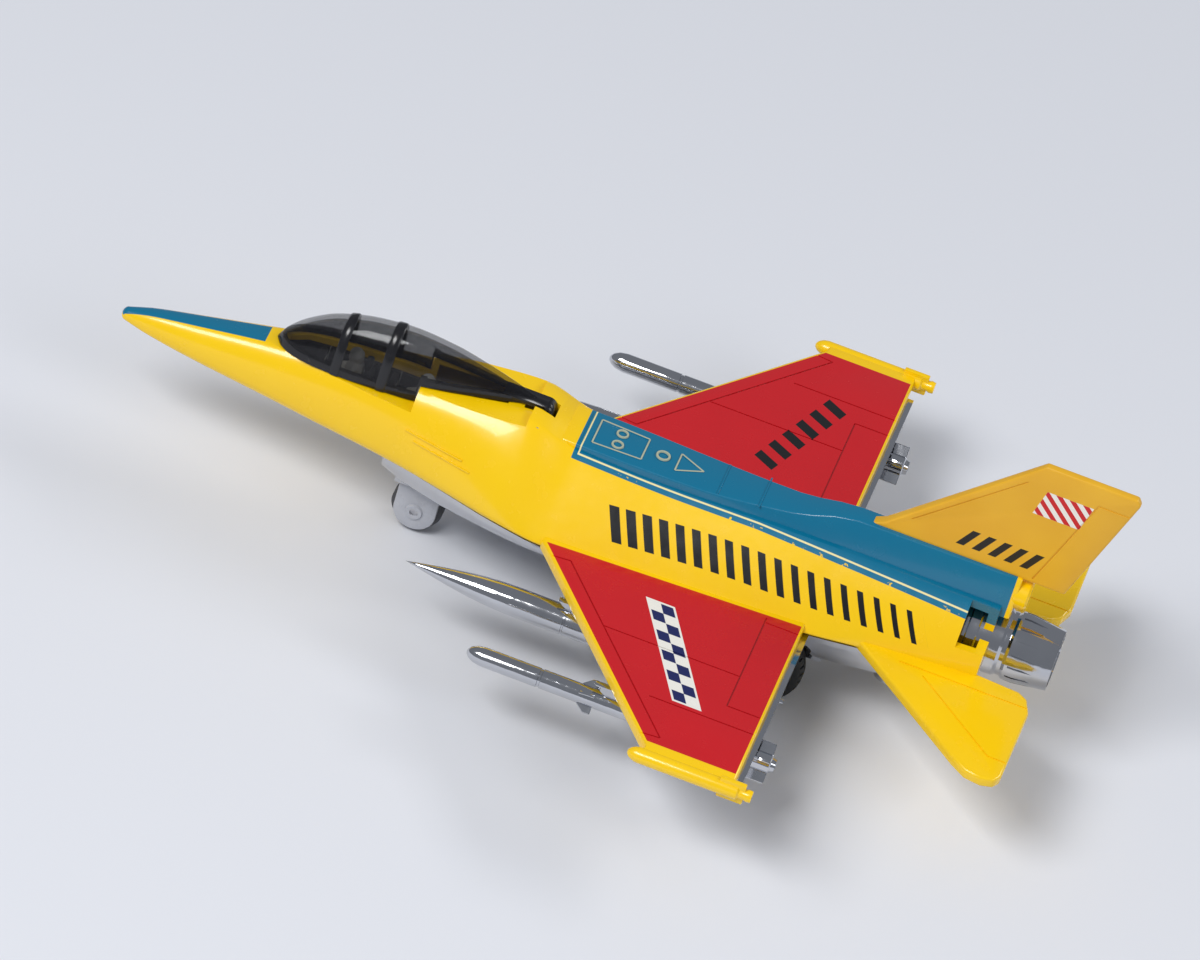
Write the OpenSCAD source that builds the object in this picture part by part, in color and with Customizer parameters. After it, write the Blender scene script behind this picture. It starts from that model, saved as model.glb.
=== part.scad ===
// Pull-back toy jet: a die-cast upper body on a plated plastic hull, with an opening canopy,
// a plastic tail fin, under-wing stores and a spring motor on the rear axle.
// The nose points along +X, port is +Y, and z = 0 is the floor under the wheels.
// Fore-and-aft places are stations: millimetres aft of the nose tip.
// Heights that end in _z are measured from the fuselage axis unless their comment says otherwise.

/* [Airframe] */
// Length from the nose tip to the rear tip of the fin
overall_l = 190; // [182:0.5:224]
// Width over the wing-tip rails
span = 133; // [116:1:160]
// Height of the fuselage axis above the floor
axis_height = 23; // [22.5:0.5:27]
// Wall of the die-cast body
body_wall = 1.6; // [1.2:0.1:2]
// Height of the face where body and hull meet
split_z = -2.7; // [-3.2:0.1:-2.3]
// Clearance between pieces that are fitted together
fit_gap = 0.15; // [0.05:0.05:0.25]

/* [Wings] */
// Half-width of the body at the wing's leading edge
wing_root_y = 19; // [17.5:0.5:21]
// Thickness of the wings
wing_t = 2.6; // [1.8:0.1:3.2]
// Station where the leading edge leaves the body
wing_le_station = 89; // [85:1:94]
// Station of the straight trailing edge
wing_te_station = 139.6; // [136:0.1:144]
// How far aft the leading edge has run at the tip
wing_sweep = 33; // [26:0.5:38]
// Radius of the wing-tip rails
rail_r = 1.5; // [1.3:0.1:2]
// Length of the wing-tip rails
rail_l = 24; // [20:0.5:29]
// Thickness of the tailplanes
tail_t = 2.2; // [1.6:0.1:2.6]

/* [Fin] */
// Height of the fin above the spine
fin_h = 26; // [21:0.5:31]
// Thickness of the fin at its root
fin_t = 2.4; // [1.8:0.1:2.8]
// Depth of the tongue that plugs into the spine
fin_tongue = 3; // [2:0.5:4]

/* [Canopy] */
// Wall of the canopy
canopy_wall = 1; // [0.8:0.1:1.3]
// Radius of the hinge pin
hinge_pin_r = 0.6; // [0.5:0.05:0.8]
// Running clearance around the hinge pin
hinge_gap = 0.06; // [0.03:0.01:0.1]
// Width of the canopy's hinge lug
hinge_lug_w = 3.4; // [2.6:0.2:4]

/* [Wheels] */
// Radius of the rear tyres
rear_r = 8.8; // [8.2:0.1:9.6]
// Width of the rear tyres
rear_w = 4.6; // [3.8:0.2:5.4]
// Station of the rear axle
rear_station = 133; // [131:0.5:135]
// Radius of the rear axle
axle_r = 1.1; // [0.9:0.05:1.3]
// Running clearance around the axles
axle_gap = 0.05; // [0.02:0.01:0.1]
// Radius of the nose wheel
nose_r = 5; // [4.6:0.1:6]
// Width of the nose wheel
nose_w = 3.2; // [2.6:0.2:4]
// Station of the nose axle
nose_station = 63; // [61:0.5:65]

/* [Motor] */
// Outside width of the motor case
motor_w = 14.4; // [14:0.2:16]
// Wall of the motor case
motor_wall = 1.2; // [1:0.1:1.5]
// Thickness of the mainspring's strip
spring_t = 0.35; // [0.25:0.05:0.45]
// Turns of the mainspring
spring_turns = 5; // [3:1:6]

/* [Hidden] */
$fn = 48;
eps = 0.01;

// The airframe's stations are drawn at this length, and stretch with overall_l
drawn_l = 190;
stretch = overall_l / drawn_l;

// Steps around a quarter of a lofted section
quarter = 6;

function station_x(s) = overall_l / 2 - s * stretch;

// Where the motor's shafts sit, in the motor's own plane, measured from the rear axle:
// the idler stands above and ahead of the axle, and the spring arbor ahead of the idler.
gear_m_fast = 0.5;
gear_m_slow = 0.6;
drive_teeth = 10;
idler_teeth = 24;
pinion_teeth = 10;
spring_teeth = 30;
idler_angle = 60;
arbor_angle = 12;
idler_dist = gear_m_fast * (drive_teeth + idler_teeth) / 2;
arbor_dist = gear_m_slow * (pinion_teeth + spring_teeth) / 2;
axle_pos = [0, 0];
idler_pos = idler_dist * [cos(idler_angle), sin(idler_angle)];
arbor_pos = idler_pos + arbor_dist * [cos(arbor_angle), sin(arbor_angle)];

rear_x = station_x(rear_station);
nose_x = station_x(nose_station);

// Layers across the motor, measured along y from its middle plane
spring_gear_y = [1, 3];
pinion_y = [0.6, 3.4];
idler_y = [3.8, 5.4];
drive_y = [3.5, 5.7];
mainspring_y = [-5.4, -0.6];
motor_inner_y = motor_w / 2 - motor_wall;

idler_shaft_r = 0.8;
arbor_r = 1.5;
drum_r = 8.4;
screw_r = 1;
screw_head_r = 2;
screw_head_t = 1.4;

hull_wall = 1.4;
hull_window = 0.4;
wheel_inner_y = motor_w / 2 + 2.6;
hub_r = rear_r - 2.8;

hinge_station = 80.8;
hinge_z = 13.6;
hinge_pin_reach = 4.8;
canopy_pivot = [station_x(hinge_station), axis_height + hinge_z];
canopy_lug_r = hinge_pin_r + 1;
pilot_stations = [44, 58];
seat_z = 3;

// Screws through the hull into the body: [station, y, height of the body's boss]
body_screw_places = [[92.5, 0, 13.2], [156.5, 6, 9.4], [156.5, -6, 9.4]];
// Where the screw heads sit, and how far the screws reach above that
screw_seat_z = -6.4;
screw_reach = 10;
body_boss_r = 2.6;
// Screws through the motor case from side to side, from the rear axle: [forward, up]
case_screw_places = [[23.5, -1.6], [5, 18.6]];
case_outline = [[-6, -5], [27, -5], [27, 20.8], [4, 20.8], [-6, 12.6]];
case_boss_r = 1.9;
// Ears of the motor case: [forward of the rear axle to the screw, side]
motor_ears = [[31, 1], [-10.5, -1]];
ear_w = 5;
ear_t = 1.4;
ear_r = 3;
ear_y = 3.5;
hull_pad_z = -10.4;

// Stations along the body: [station, half-width, half-width of the flat top, top z, edge z,
// bottom z, roundness of the shoulder (2 is an ellipse, 1 is straight)]
body_stations = [
    [0, 0.5, 0, 0.5, 0, -0.4, 2],
    [1.2, 1.4, 0, 1.4, 0, -1.1, 2],
    [5, 2.4, 0.2, 2.6, 0, -1.7, 2],
    [14, 3.9, 0.7, 4.5, 0, -2.7, 2],
    [30, 6.1, 1.8, 7.7, 0, -3.8, 2],
    [44, 8.4, 3.6, 10, -0.2, -4.4, 2],
    [58, 11.2, 4.7, 12.4, -0.5, -4.4, 1.8],
    [68, 14, 5.5, 14, -0.9, -4, 1.5],
    [79, 17.2, 5.8, 14.9, -1.3, -3.3, 1.3],
    [wing_le_station, wing_root_y, 6.3, 12, -1.5, split_z, 1.1],
    [112, wing_root_y - 0.9, 5.8, 11, -1.5, split_z, 1.1],
    [wing_te_station, wing_root_y - 3, 5.1, 11, -1.5, split_z, 1.15],
    [151, 14.1, 4.7, 10.8, -1.5, split_z, 1.3],
    [172, 11.8, 4.2, 10.4, -1.5, split_z, 1.5]];

// Height of the spine under the fin
spine_top_z = 16.4;
// Stations along the raised spine: [station, half-width below, half-width above, top z]
spine_stations = [
    [85.5, 6.2, 5.6, 12.9],
    [94, 6.2, 5.6, 12.8],
    [112, 5.8, 5.1, 12.6],
    [130, 5.4, 3.3, 13.7],
    [142, 5.1, 2.1, spine_top_z],
    [174, 4, 1.8, spine_top_z]];
spine_base_z = 8.3;

// Stations along the hull: [station, half-width, bottom z]
hull_stations = [
    [55, 6.7, -9.1],
    [60, 8.2, -10.6],
    [71, 10.4, -12],
    [89, 12.3, -12.8],
    [139, 12.3, -12.8],
    [158, 10.5, -11.7],
    [170, 9.1, -10]];

// Stations along the canopy's bubble: [station, half-width, top z]
canopy_stations = [
    [29.2, 0.9, 7.9],
    [30.5, 2.9, 10],
    [33.7, 4.7, 13.2],
    [39, 5.8, 16.6],
    [46.5, 6.2, 19],
    [54, 6.1, 19.9],
    [61, 5.4, 19.5],
    [68, 4.1, 18.3],
    [74.5, 2.6, 16.7],
    [78.4, 1.3, 15.4]];
// The sill is low beside the front seat and steps up behind it: [station, z]
sill_low = [[28, 7.4], [57.9, 8.7]];
sill_high = [[57.9, 12.1], [78.9, 13.9]];
canopy_gap = 0.3;

// ---- Helpers -------------------------------------------------------------------------------

// The value of a column of a station table at station s, by straight lines between its rows
function at_station(table, column, s) = lookup(s, [for (row = table) [row[0], row[column]]]);

// Superellipse quarter, from the edge (angle 0) to the middle (angle 90)
function bow(w, h, angle, n) = [w * pow(cos(angle), 2 / n), h * pow(sin(angle), 2 / n)];

// Closed ring of [y, z] around a body section, shrunk inward by a wall, with a chosen bottom
function body_ring(row, wall, bottom) =
    let (w = row[1] - wall, flat = max(min(row[2], w - 0.2), 0.05), top = row[3] - wall, edge = row[4])
    let (over = [for (i = [0:quarter]) [flat, edge] + bow(w - flat, top - edge, 90 * i / quarter, row[6])])
    closed_ring(over, edge, w, bottom, 3);

// Ring with the given points over the top, their mirror image, and a rounded underside
function closed_ring(over, edge, w, bottom, n) =
    let (under = [for (i = [1:quarter]) let (p = bow(w, edge - bottom, 90 * i / quarter, n)) [p[0], edge - p[1]]])
    concat(over, [for (i = [len(over) - 1:-1:0]) [-over[i][0], over[i][1]]],
        [for (p = under) [-p[0], p[1]]], [for (i = [quarter - 2:-1:0]) under[i]]);

// Skin over rings of equal length, each [x, ring of [y, z]], from the nose aft
module skin(rings) {
    count = len(rings[0][1]);
    last = len(rings) - 1;
    points = [for (r = rings) for (p = r[1]) [r[0], p[0], p[1] + axis_height]];
    sides = [for (i = [0:last - 1]) for (j = [0:count - 1])
        let (k = (j + 1) % count) [i * count + j, i * count + k, (i + 1) * count + k, (i + 1) * count + j]];
    nose_cap = [[for (j = [count - 1:-1:0]) j]];
    tail_cap = [[for (j = [0:count - 1]) last * count + j]];
    polyhedron(points, concat(sides, nose_cap, tail_cap), convexity = 6);
}

// Box from station s0 aft to s1, between y0 and y1, and between two heights from the axis
module station_box(s0, s1, y0, y1, z0, z1) {
    translate([station_x(s1), y0, axis_height + z0])
        cube([station_x(s0) - station_x(s1), y1 - y0, z1 - z0]);
}

// Flat plate whose outline lies in plan, between two heights from the axis
module plan_plate(outline, z0, z1) {
    translate([0, 0, axis_height + z0]) linear_extrude(z1 - z0)
        polygon([for (p = outline) [station_x(p[0]), p[1]]]);
}

// Plate whose outline lies in the side view, between y0 and y1
module side_plate(y0, y1) {
    translate([0, y1, 0]) rotate([90, 0, 0]) linear_extrude(y1 - y0) children();
}

// Cylinder across the model, from y0 to y1, at a place in the side view
module cross_pin(place, r, y0, y1) {
    translate([place[0], y0, place[1]]) rotate([-90, 0, 0]) cylinder(r = r, h = y1 - y0);
}

// Child copied to both sides
module both_sides() {
    children();
    mirror([0, 1, 0]) children();
}

// Point of the motor's plane as a place in the side view
function motor_place(p) = [rear_x + p[0], rear_r + p[1]];

// ---- Gears ---------------------------------------------------------------------------------

pressure = 20;
backlash = 0.06;
function roll(a) = tan(a) * 180 / PI - a;

// Half the angle that a tooth covers at radius r
function tooth_half(r, m, teeth) =
    let (pitch_r = m * teeth / 2, base_r = pitch_r * cos(pressure))
    90 / teeth - backlash / pitch_r * 180 / PI + roll(pressure) - roll(acos(min(1, base_r / r)));

// Spur gear outline with its first tooth at angle phase
module gear_outline(m, teeth, addendum, phase) {
    pitch_r = m * teeth / 2;
    root_r = pitch_r - 1.2 * m;
    tip_r = pitch_r + addendum * m;
    start_r = max(root_r + eps, pitch_r * cos(pressure));
    radii = [root_r, start_r, pitch_r, (pitch_r + tip_r) / 2, tip_r];
    polygon([for (i = [0:teeth - 1]) let (c = phase + 360 * i / teeth)
        each concat([for (r = radii) let (a = c - tooth_half(r, m, teeth)) r * [cos(a), sin(a)]],
            [for (k = [len(radii) - 1:-1:0]) let (r = radii[k], a = c + tooth_half(r, m, teeth)) r * [cos(a), sin(a)]])]);
}

// Gear on a cross shaft at a place in the motor, between the two y values of its layer
module cross_gear(place, layer, m, teeth, addendum, phase) {
    translate([motor_place(place)[0], 0, motor_place(place)[1]])
        side_plate(layer[0], layer[1]) gear_outline(m, teeth, addendum, phase);
}

wheel_addendum = 0.65;
pinion_addendum = 0.9;

// ---- Upper body ----------------------------------------------------------------------------

// Body stations between two stations, with the wall and bottom of the ring
function body_rings(first, last, wall, bottom) =
    [for (row = body_stations) if (row[0] >= first && row[0] <= last)
        [station_x(row[0]), body_ring(row, wall, bottom == undef ? row[5] : bottom)]];

// Body section at any station, for the ends of the cavity
function body_row(s) = [s, for (c = [1:6]) at_station(body_stations, c, s)];

wing_tip_y = span / 2 - rail_r;
wing_outline = [[wing_le_station, wing_root_y - 6], [wing_le_station, wing_root_y],
    [wing_le_station + wing_sweep, wing_tip_y - 2], [wing_le_station + wing_sweep, wing_tip_y],
    [wing_te_station, wing_tip_y], [wing_te_station, wing_root_y - 8]];
tail_outline = [[145, 10], [150, 14.1], [174, 35.6], [177, 37.8], [180.3, 38.3], [182.6, 37.5], [183.4, 36],
    [183.6, 16.4], [182.4, 12.8], [180.5, 11.5], [172, 10.9], [170, 10]];

// One wing-tip rail with its nose, tail knob and small end fins
module tip_rail() {
    fin_l = 5;
    translate([station_x(wing_le_station + wing_sweep) + 2.6, wing_tip_y, axis_height + split_z + wing_t / 2])
        rotate([0, -90, 0]) {
            rotate_extrude() polygon([[0, 0], [0.7 * rail_r, 0.4], [rail_r, 2.2], [rail_r, rail_l - 2.8],
                [0.7 * rail_r, rail_l - 1], [0.8 * rail_r, rail_l], [0, rail_l]]);
            translate([-rail_r - 0.7, -0.5, rail_l - fin_l - 1.4]) cube([2 * rail_r + 1.4, 1, fin_l]);
        }
}

// Raised spine, a trapezium in section
module spine() {
    skin([for (row = spine_stations) [station_x(row[0]),
        [[row[1], spine_base_z], [row[2], row[3]], [-row[2], row[3]], [-row[1], spine_base_z]]]]);
    translate([station_x(173), 0, axis_height + 12]) rotate([0, -90, 0]) cylinder(r = 3, h = 3.2);
}

// Side profile of everything above the cockpit sill
module above_sill(lift) {
    side_plate(-30, 30) polygon([
        for (p = sill_low) [station_x(p[0]) + (p == sill_low[1] ? lift : 0), axis_height + p[1] + lift],
        for (p = sill_high) [station_x(p[0]) + (p == sill_high[0] ? lift : 0), axis_height + p[1] + lift],
        [station_x(sill_high[1][0]), axis_height + 30], [station_x(sill_low[0][0]), axis_height + 30]]);
}

// The cockpit well in plan: [station, half-width]
well_half = [[31.4, 1.6], [34.6, 3.5], [41, 4.5], [59, 4.5], [68, 3.3], [74, 2.2]];
// Plate that fills the well's outline, shrunk by a gap
module well_plate(gap, z0, z1) {
    last = len(well_half) - 1;
    inset = [for (i = [0:last]) [well_half[i][0] + (i == 0 ? gap : i == last ? -gap : 0), well_half[i][1] - gap]];
    plan_plate(concat(inset, [for (i = [last:-1:0]) [inset[i][0], -inset[i][1]]]), z0, z1);
}

hinge_block = [76, 86];
nozzle_r = 6.7;
nozzle_hole_r = nozzle_r + fit_gap;
tub_floor_z = -0.4;
// Stations of the fin's tongue
tongue = [150, 170];
tongue_half = fin_t / 2 - 0.5;
nose_end = 55;
body_end = 172;
cavity_end = body_end - 1.8;
notch_start = 166.6;

module upper_body() {
    color("gold") difference() {
        union() {
            difference() {
                union() {
                    skin(body_rings(0, body_end, 0, undef));
                    both_sides() {
                        plan_plate(wing_outline, split_z, split_z + wing_t);
                        plan_plate(tail_outline, split_z, split_z + tail_t);
                        tip_rail();
                    }
                    spine();
                }
                // Main cavity, open below
                skin(concat([[station_x(59), body_ring(body_row(59), body_wall, -12)]],
                    body_rings(60, cavity_end, body_wall, -12),
                    [[station_x(cavity_end), body_ring(body_row(cavity_end), body_wall, -12)]]));
                // Flat underside behind the nose
                station_box(nose_end, drawn_l, -span, span, -12, split_z);
            }
            for (p = body_screw_places) translate([station_x(p[0]), p[1], axis_height + split_z])
                cylinder(r = body_boss_r, h = p[2]);
            station_box(hinge_block[0], hinge_block[1], -5.5, 5.5, 8, 13.6);
        }
        above_sill(0);
        well_plate(0, tub_floor_z, 30);
        // Slot and pin bore of the canopy hinge
        station_box(77, hinge_station + canopy_lug_r + canopy_gap, -hinge_lug_w / 2 - canopy_gap,
            hinge_lug_w / 2 + canopy_gap, hinge_z - canopy_lug_r - canopy_gap, 20);
        cross_pin(canopy_pivot, hinge_pin_r, -hinge_pin_reach, 12);
        // Slot for the fin's tongue
        translate([station_x(tongue[1]) - fit_gap, -tongue_half - fit_gap,
            axis_height + spine_top_z - fin_tongue - fit_gap])
            cube([station_x(tongue[0]) - station_x(tongue[1]) + 2 * fit_gap, 2 * (tongue_half + fit_gap), 20]);
        for (p = body_screw_places) translate([station_x(p[0]), p[1], axis_height + split_z - eps])
            cylinder(r = screw_r, h = screw_seat_z + screw_reach - split_z + 0.8);
        // Round opening for the nozzle and the notches that show its barrel
        translate([station_x(cavity_end - 1), 0, axis_height]) rotate([0, -90, 0])
            cylinder(r = nozzle_hole_r, h = 10);
        both_sides() station_box(notch_start, body_end + 0.1, 4.7, 16, 3.4, 14);
    }
}

// ---- Fin -----------------------------------------------------------------------------------

module tail_fin() {
    root_z = axis_height + spine_top_z;
    top_z = root_z + fin_h;
    color("orange") {
        side_plate(-fin_t / 2, fin_t / 2) polygon([[station_x(144), root_z], [station_x(171.5), top_z],
            [station_x(drawn_l - 0.8), top_z], [station_x(drawn_l), top_z - 1.2], [station_x(182), root_z]]);
        station_box(tongue[0], tongue[1], -tongue_half, tongue_half, spine_top_z - fin_tongue, spine_top_z + eps);
    }
}

// ---- Hull ----------------------------------------------------------------------------------

// Superellipse hull sections, shrunk by a wall, with flat tops at a chosen height
function hull_ring(row, wall, top) =
    closed_ring([[row[1] - wall, top]], top, row[1] - wall, row[2] + wall, 3.4);
function hull_row(s) = [s, at_station(hull_stations, 1, s), at_station(hull_stations, 2, s)];
function hull_rings(first, last, wall, top) = concat(
    [[station_x(first), hull_ring(hull_row(first), wall, top)]],
    [for (row = hull_stations) if (row[0] > first && row[0] < last) [station_x(row[0]), hull_ring(row, wall, top)]],
    [[station_x(last), hull_ring(hull_row(last), wall, top)]]);

plate_t = 1.1;
plate_z = split_z - plate_t;
hull_end = 170;
// Flange that closes the body from below: [station, half-width]
flange_half = [for (s = [56, 58, 68, 79, wing_le_station, 112, wing_te_station, 151, hull_end])
    [s, at_station(body_stations, 1, s) - 0.8]];
under_wing = [[wing_le_station + 4, 11], [wing_le_station + 6.5, wing_root_y],
    [wing_le_station + wing_sweep + 1, wing_tip_y - 4], [wing_te_station + 1.1, wing_tip_y - 4],
    [wing_te_station + 1.1, 11]];
well_wall_y = wheel_inner_y - 0.4;
fork_pad_z = [-11.4, -9.4];
peg_r = 2;
// Feet of the hull's inner walls and screw posts, inside its shell
wall_foot_z = -12.4;
screw_post_z = -11.8;
// Top of the motor's window in the hull, and of the nose gear's socket
window_top_z = hull_pad_z - 0.1;
socket_top_z = -9;

module lower_hull() {
    last = len(flange_half) - 1;
    color("silver") difference() {
        union() {
            difference() {
                union() {
                    skin(hull_rings(nose_end, hull_end, 0, plate_z + eps));
                    plan_plate(concat(flange_half, [for (i = [last:-1:0]) [flange_half[i][0], -flange_half[i][1]]]),
                        plate_z, split_z);
                    both_sides() plan_plate(under_wing, plate_z, split_z);
                }
                // Air duct, and the main cavity behind its bulkhead
                skin(hull_rings(nose_end - 0.5, 69, hull_wall, plate_z));
                skin(hull_rings(70.5, hull_end - 1.8, hull_wall, split_z + 1));
                both_sides() cross_pin([rear_x, rear_r], rear_r + 1, well_wall_y, 22);
            }
            // Side walls between the motor and the wheels
            both_sides() translate([rear_x - rear_r - 2, well_wall_y - 1.2, axis_height + wall_foot_z])
                cube([2 * rear_r + 4, 1.2, split_z - 0.2 - wall_foot_z]);
            for (e = motor_ears) translate([rear_x + e[0], ear_y * e[1], axis_height + wall_foot_z])
                cylinder(r = ear_r, h = hull_pad_z - wall_foot_z);
            for (p = body_screw_places) translate([station_x(p[0]), p[1], axis_height + screw_post_z])
                cylinder(r = body_boss_r + 0.6, h = split_z - screw_post_z);
            station_box(nose_station - 5, nose_station + 5, -4.6, 4.6, fork_pad_z[0], fork_pad_z[1]);
        }
        // Window for the motor
        translate([rear_x + case_outline[0][0] - hull_window, -motor_w / 2 - hull_window, 0])
            cube([case_outline[1][0] - case_outline[0][0] + 2 * hull_window, motor_w + 2 * hull_window,
                axis_height + window_top_z]);
        for (e = motor_ears) translate([rear_x + e[0], ear_y * e[1], axis_height + wall_foot_z + 0.4])
            cylinder(r = screw_r, h = 5);
        for (p = body_screw_places) translate([station_x(p[0]), p[1], 0]) {
            cylinder(r = screw_r + fit_gap, h = axis_height + 1);
            cylinder(r = screw_head_r + fit_gap, h = axis_height + screw_seat_z);
        }
        // Seat and socket of the nose gear, and the rear opening for the nozzle
        station_box(nose_station - 5, nose_station + 5, -4.6, 4.6, fork_pad_z[0] - 3, fork_pad_z[0]);
        translate([nose_x, 0, 0]) cylinder(r = peg_r + fit_gap, h = axis_height + socket_top_z);
        translate([station_x(hull_end - 2.8), 0, axis_height]) rotate([0, -90, 0])
            cylinder(r = nozzle_hole_r, h = 10);
    }
}

module exhaust_nozzle() {
    flange_t = 2.4;
    barrel_l = 21.5;
    petals = 16;
    lip_r = nozzle_r - 0.8;
    color("silver") translate([station_x(163), 0, axis_height]) rotate([0, -90, 0]) difference() {
        rotate_extrude() polygon([[nozzle_r - 1.7, 0], [nozzle_r + 1, 0], [nozzle_r + 1, flange_t],
            [nozzle_r, flange_t], [nozzle_r, 11], [nozzle_r - 0.5, 12], [nozzle_r, 13], [lip_r, barrel_l],
            [lip_r - 0.8, barrel_l], [nozzle_r - 1.7, 13]]);
        for (i = [0:petals - 1]) rotate([0, 0, 360 * i / petals])
            translate([nozzle_r - 0.45, -0.25, 14]) cube([2, 0.5, barrel_l]);
    }
}

// ---- Cockpit -------------------------------------------------------------------------------

function canopy_ring(row, wall) =
    let (w = row[1] - wall, base = 5.5, top = row[2] - wall)
    closed_ring([for (i = [0:quarter]) let (p = bow(w, top - base, 90 * i / quarter, 2.2))
        [max(p[0], 0.05), base + p[1]]], base, w, base - 0.5, 6);

module canopy() {
    color([0.1, 0.1, 0.12, 0.6]) difference() {
        union() {
            difference() {
                skin([for (row = canopy_stations) [station_x(row[0]), canopy_ring(row, 0)]]);
                skin([for (row = canopy_stations) if (row[1] > canopy_wall + 1.2)
                    [station_x(row[0]), canopy_ring(row, canopy_wall)]]);
            }
            cross_pin(canopy_pivot, canopy_lug_r, -hinge_lug_w / 2, hinge_lug_w / 2);
            station_box(72.5, hinge_station, -hinge_lug_w / 2, hinge_lug_w / 2, hinge_z + 0.75,
                hinge_z + canopy_lug_r);
        }
        difference() {
            station_box(20, sill_high[1][0] - eps, -20, 20, 0, hinge_z + 2.2);
            above_sill(canopy_gap);
        }
        cross_pin(canopy_pivot, hinge_pin_r + hinge_gap, -10, 10);
    }
}

module canopy_hinge_pin() {
    color("gray") cross_pin(canopy_pivot, hinge_pin_r, -hinge_pin_reach, hinge_pin_reach + 2);
}

module cockpit_tub() {
    rim_z = 6.6;
    tray_z = tub_floor_z + 1;
    color([0.2, 0.2, 0.2]) {
        difference() {
            well_plate(fit_gap, tub_floor_z, rim_z);
            well_plate(1.1, tray_z, rim_z + 1);
        }
        // Seats and the two instrument panels
        for (s = pilot_stations) {
            station_box(s - 2.4, s + 2.7, -2.4, 2.4, tray_z - eps, seat_z);
            station_box(s + 2.7, s + 4, -2.2, 2.2, tray_z - eps, seat_z + 5.8);
            station_box(s - 6.6, s - 5.4, -2.6, 2.6, tray_z - eps, rim_z + 0.5);
        }
    }
}

// Seated figure on the seat at a station
module pilot(s) {
    translate([station_x(s + 0.5), 0, axis_height + seat_z]) {
        cylinder(r = 2.1, h = 5);
        translate([0, 0, 6.6]) sphere(r = 1.8);
        for (side = [-1, 1]) {
            translate([0, side * 1.1, 0.9]) rotate([0, 90, 0]) cylinder(r = 0.85, h = 4.6);
            translate([0, side * 2.1, 3.8]) rotate([0, 70, 0]) cylinder(r = 0.65, h = 4.2);
        }
    }
}

module front_pilot() {
    color("white") pilot(pilot_stations[0]);
}

module rear_pilot() {
    color("white") pilot(pilot_stations[1]);
}

// ---- Stores --------------------------------------------------------------------------------

// Body of revolution that runs aft from a place, with its profile as [aft, radius]
module store(place, profile) {
    translate([station_x(place[0]), place[1], axis_height + place[2]]) rotate([0, -90, 0])
        rotate_extrude() polygon(concat([[0, 0]], [for (p = profile) [p[1], p[0]]],
            [[0, profile[len(profile) - 1][0]]]));
}

// Places of the stores: [station of the nose, y, z]
tank_place = [67, 28.7, -8.3];
tank_r = 2.8;
tank_l = 74;
missile_place = [84.5, 47.3, -7.6];
missile_r = 1.85;
missile_l = 60;

// Pylon between a store and the plate under the wing
module pylon(place, s0, s1, store_r, half_t) {
    station_box(s0, s1, place[1] - half_t, place[1] + half_t, place[2] + store_r - 0.4, plate_z);
}

module drop_tank() {
    store(tank_place, concat([for (i = [1:4]) [tank_l * 0.3 * i / 4, tank_r * sin(22.5 * i)]],
        [for (i = [0:4]) [tank_l * (0.7 + 0.3 * i / 4), tank_r * (1 - 0.85 * pow(i / 4, 2))]]));
    pylon(tank_place, 97, 129, tank_r, 0.85);
}

module missile() {
    store(missile_place, concat([for (i = [1:4]) [3.6 * i / 4, missile_r * sin(22.5 * i)]],
        [[missile_l - 1, missile_r], [missile_l, missile_r - 0.6]]));
    pylon(missile_place, 110, 135, missile_r, 0.75);
    for (a = [45, 135])
        translate([station_x(missile_place[0] + missile_l - 1), missile_place[1], axis_height + missile_place[2]])
            rotate([a, 0, 0]) {
                translate([0, -3.8, -0.35]) cube([7, 7.6, 0.7]);
                translate([34, -3.2, -0.35]) cube([4, 6.4, 0.7]);
            }
}

module left_drop_tank() {
    color("silver") drop_tank();
}

module right_drop_tank() {
    color("silver") mirror([0, 1, 0]) drop_tank();
}

module left_missile() {
    color("silver") missile();
}

module right_missile() {
    color("silver") mirror([0, 1, 0]) missile();
}

// ---- Nose gear -----------------------------------------------------------------------------

nose_axle_r = 0.8;
fork_gap = 0.3;
cheek_t = 1.2;
cheek_r = nose_r - 0.9;

module nose_gear_fork() {
    inner = nose_w / 2 + fork_gap;
    color("lightgray") difference() {
        union() {
            both_sides() side_plate(inner, inner + cheek_t) union() {
                translate([nose_x, nose_r]) circle(r = cheek_r);
                translate([nose_x - cheek_r, nose_r]) square([2 * cheek_r, axis_height + fork_pad_z[0] - 0.6 - nose_r]);
            }
            station_box(nose_station - 4.7, nose_station + 4.7, -inner - cheek_t, inner + cheek_t,
                fork_pad_z[0] - 1.2, fork_pad_z[0]);
            translate([nose_x, 0, axis_height + fork_pad_z[0] - 0.5]) cylinder(r = peg_r, h = 2.2);
        }
        cross_pin([nose_x, nose_r], nose_axle_r, -10, 10);
    }
}

module nose_axle() {
    half = nose_w / 2 + fork_gap + cheek_t;
    color("gray") cross_pin([nose_x, nose_r], nose_axle_r, -half, half);
}

module nose_wheel() {
    color("dimgray") difference() {
        union() {
            cross_pin([nose_x, nose_r], nose_r, -nose_w / 2 + 0.5, nose_w / 2 - 0.5);
            cross_pin([nose_x, nose_r], nose_r - 0.6, -nose_w / 2, nose_w / 2);
        }
        cross_pin([nose_x, nose_r], nose_axle_r + axle_gap, -10, 10);
    }
}

// ---- Rear wheels ---------------------------------------------------------------------------

axle_end_y = wheel_inner_y + rear_w - 1;

module rear_axle() {
    color("gray") cross_pin([rear_x, rear_r], axle_r, -axle_end_y, axle_end_y);
}

module wheel_hub() {
    difference() {
        cross_pin([rear_x, rear_r], hub_r, wheel_inner_y, wheel_inner_y + rear_w);
        cross_pin([rear_x, rear_r], axle_r, 0, axle_end_y);
        difference() {
            cross_pin([rear_x, rear_r], hub_r - 1, wheel_inner_y + rear_w - 1.2, 30);
            cross_pin([rear_x, rear_r], axle_r + 1.2, 0, 30);
        }
    }
}

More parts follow.
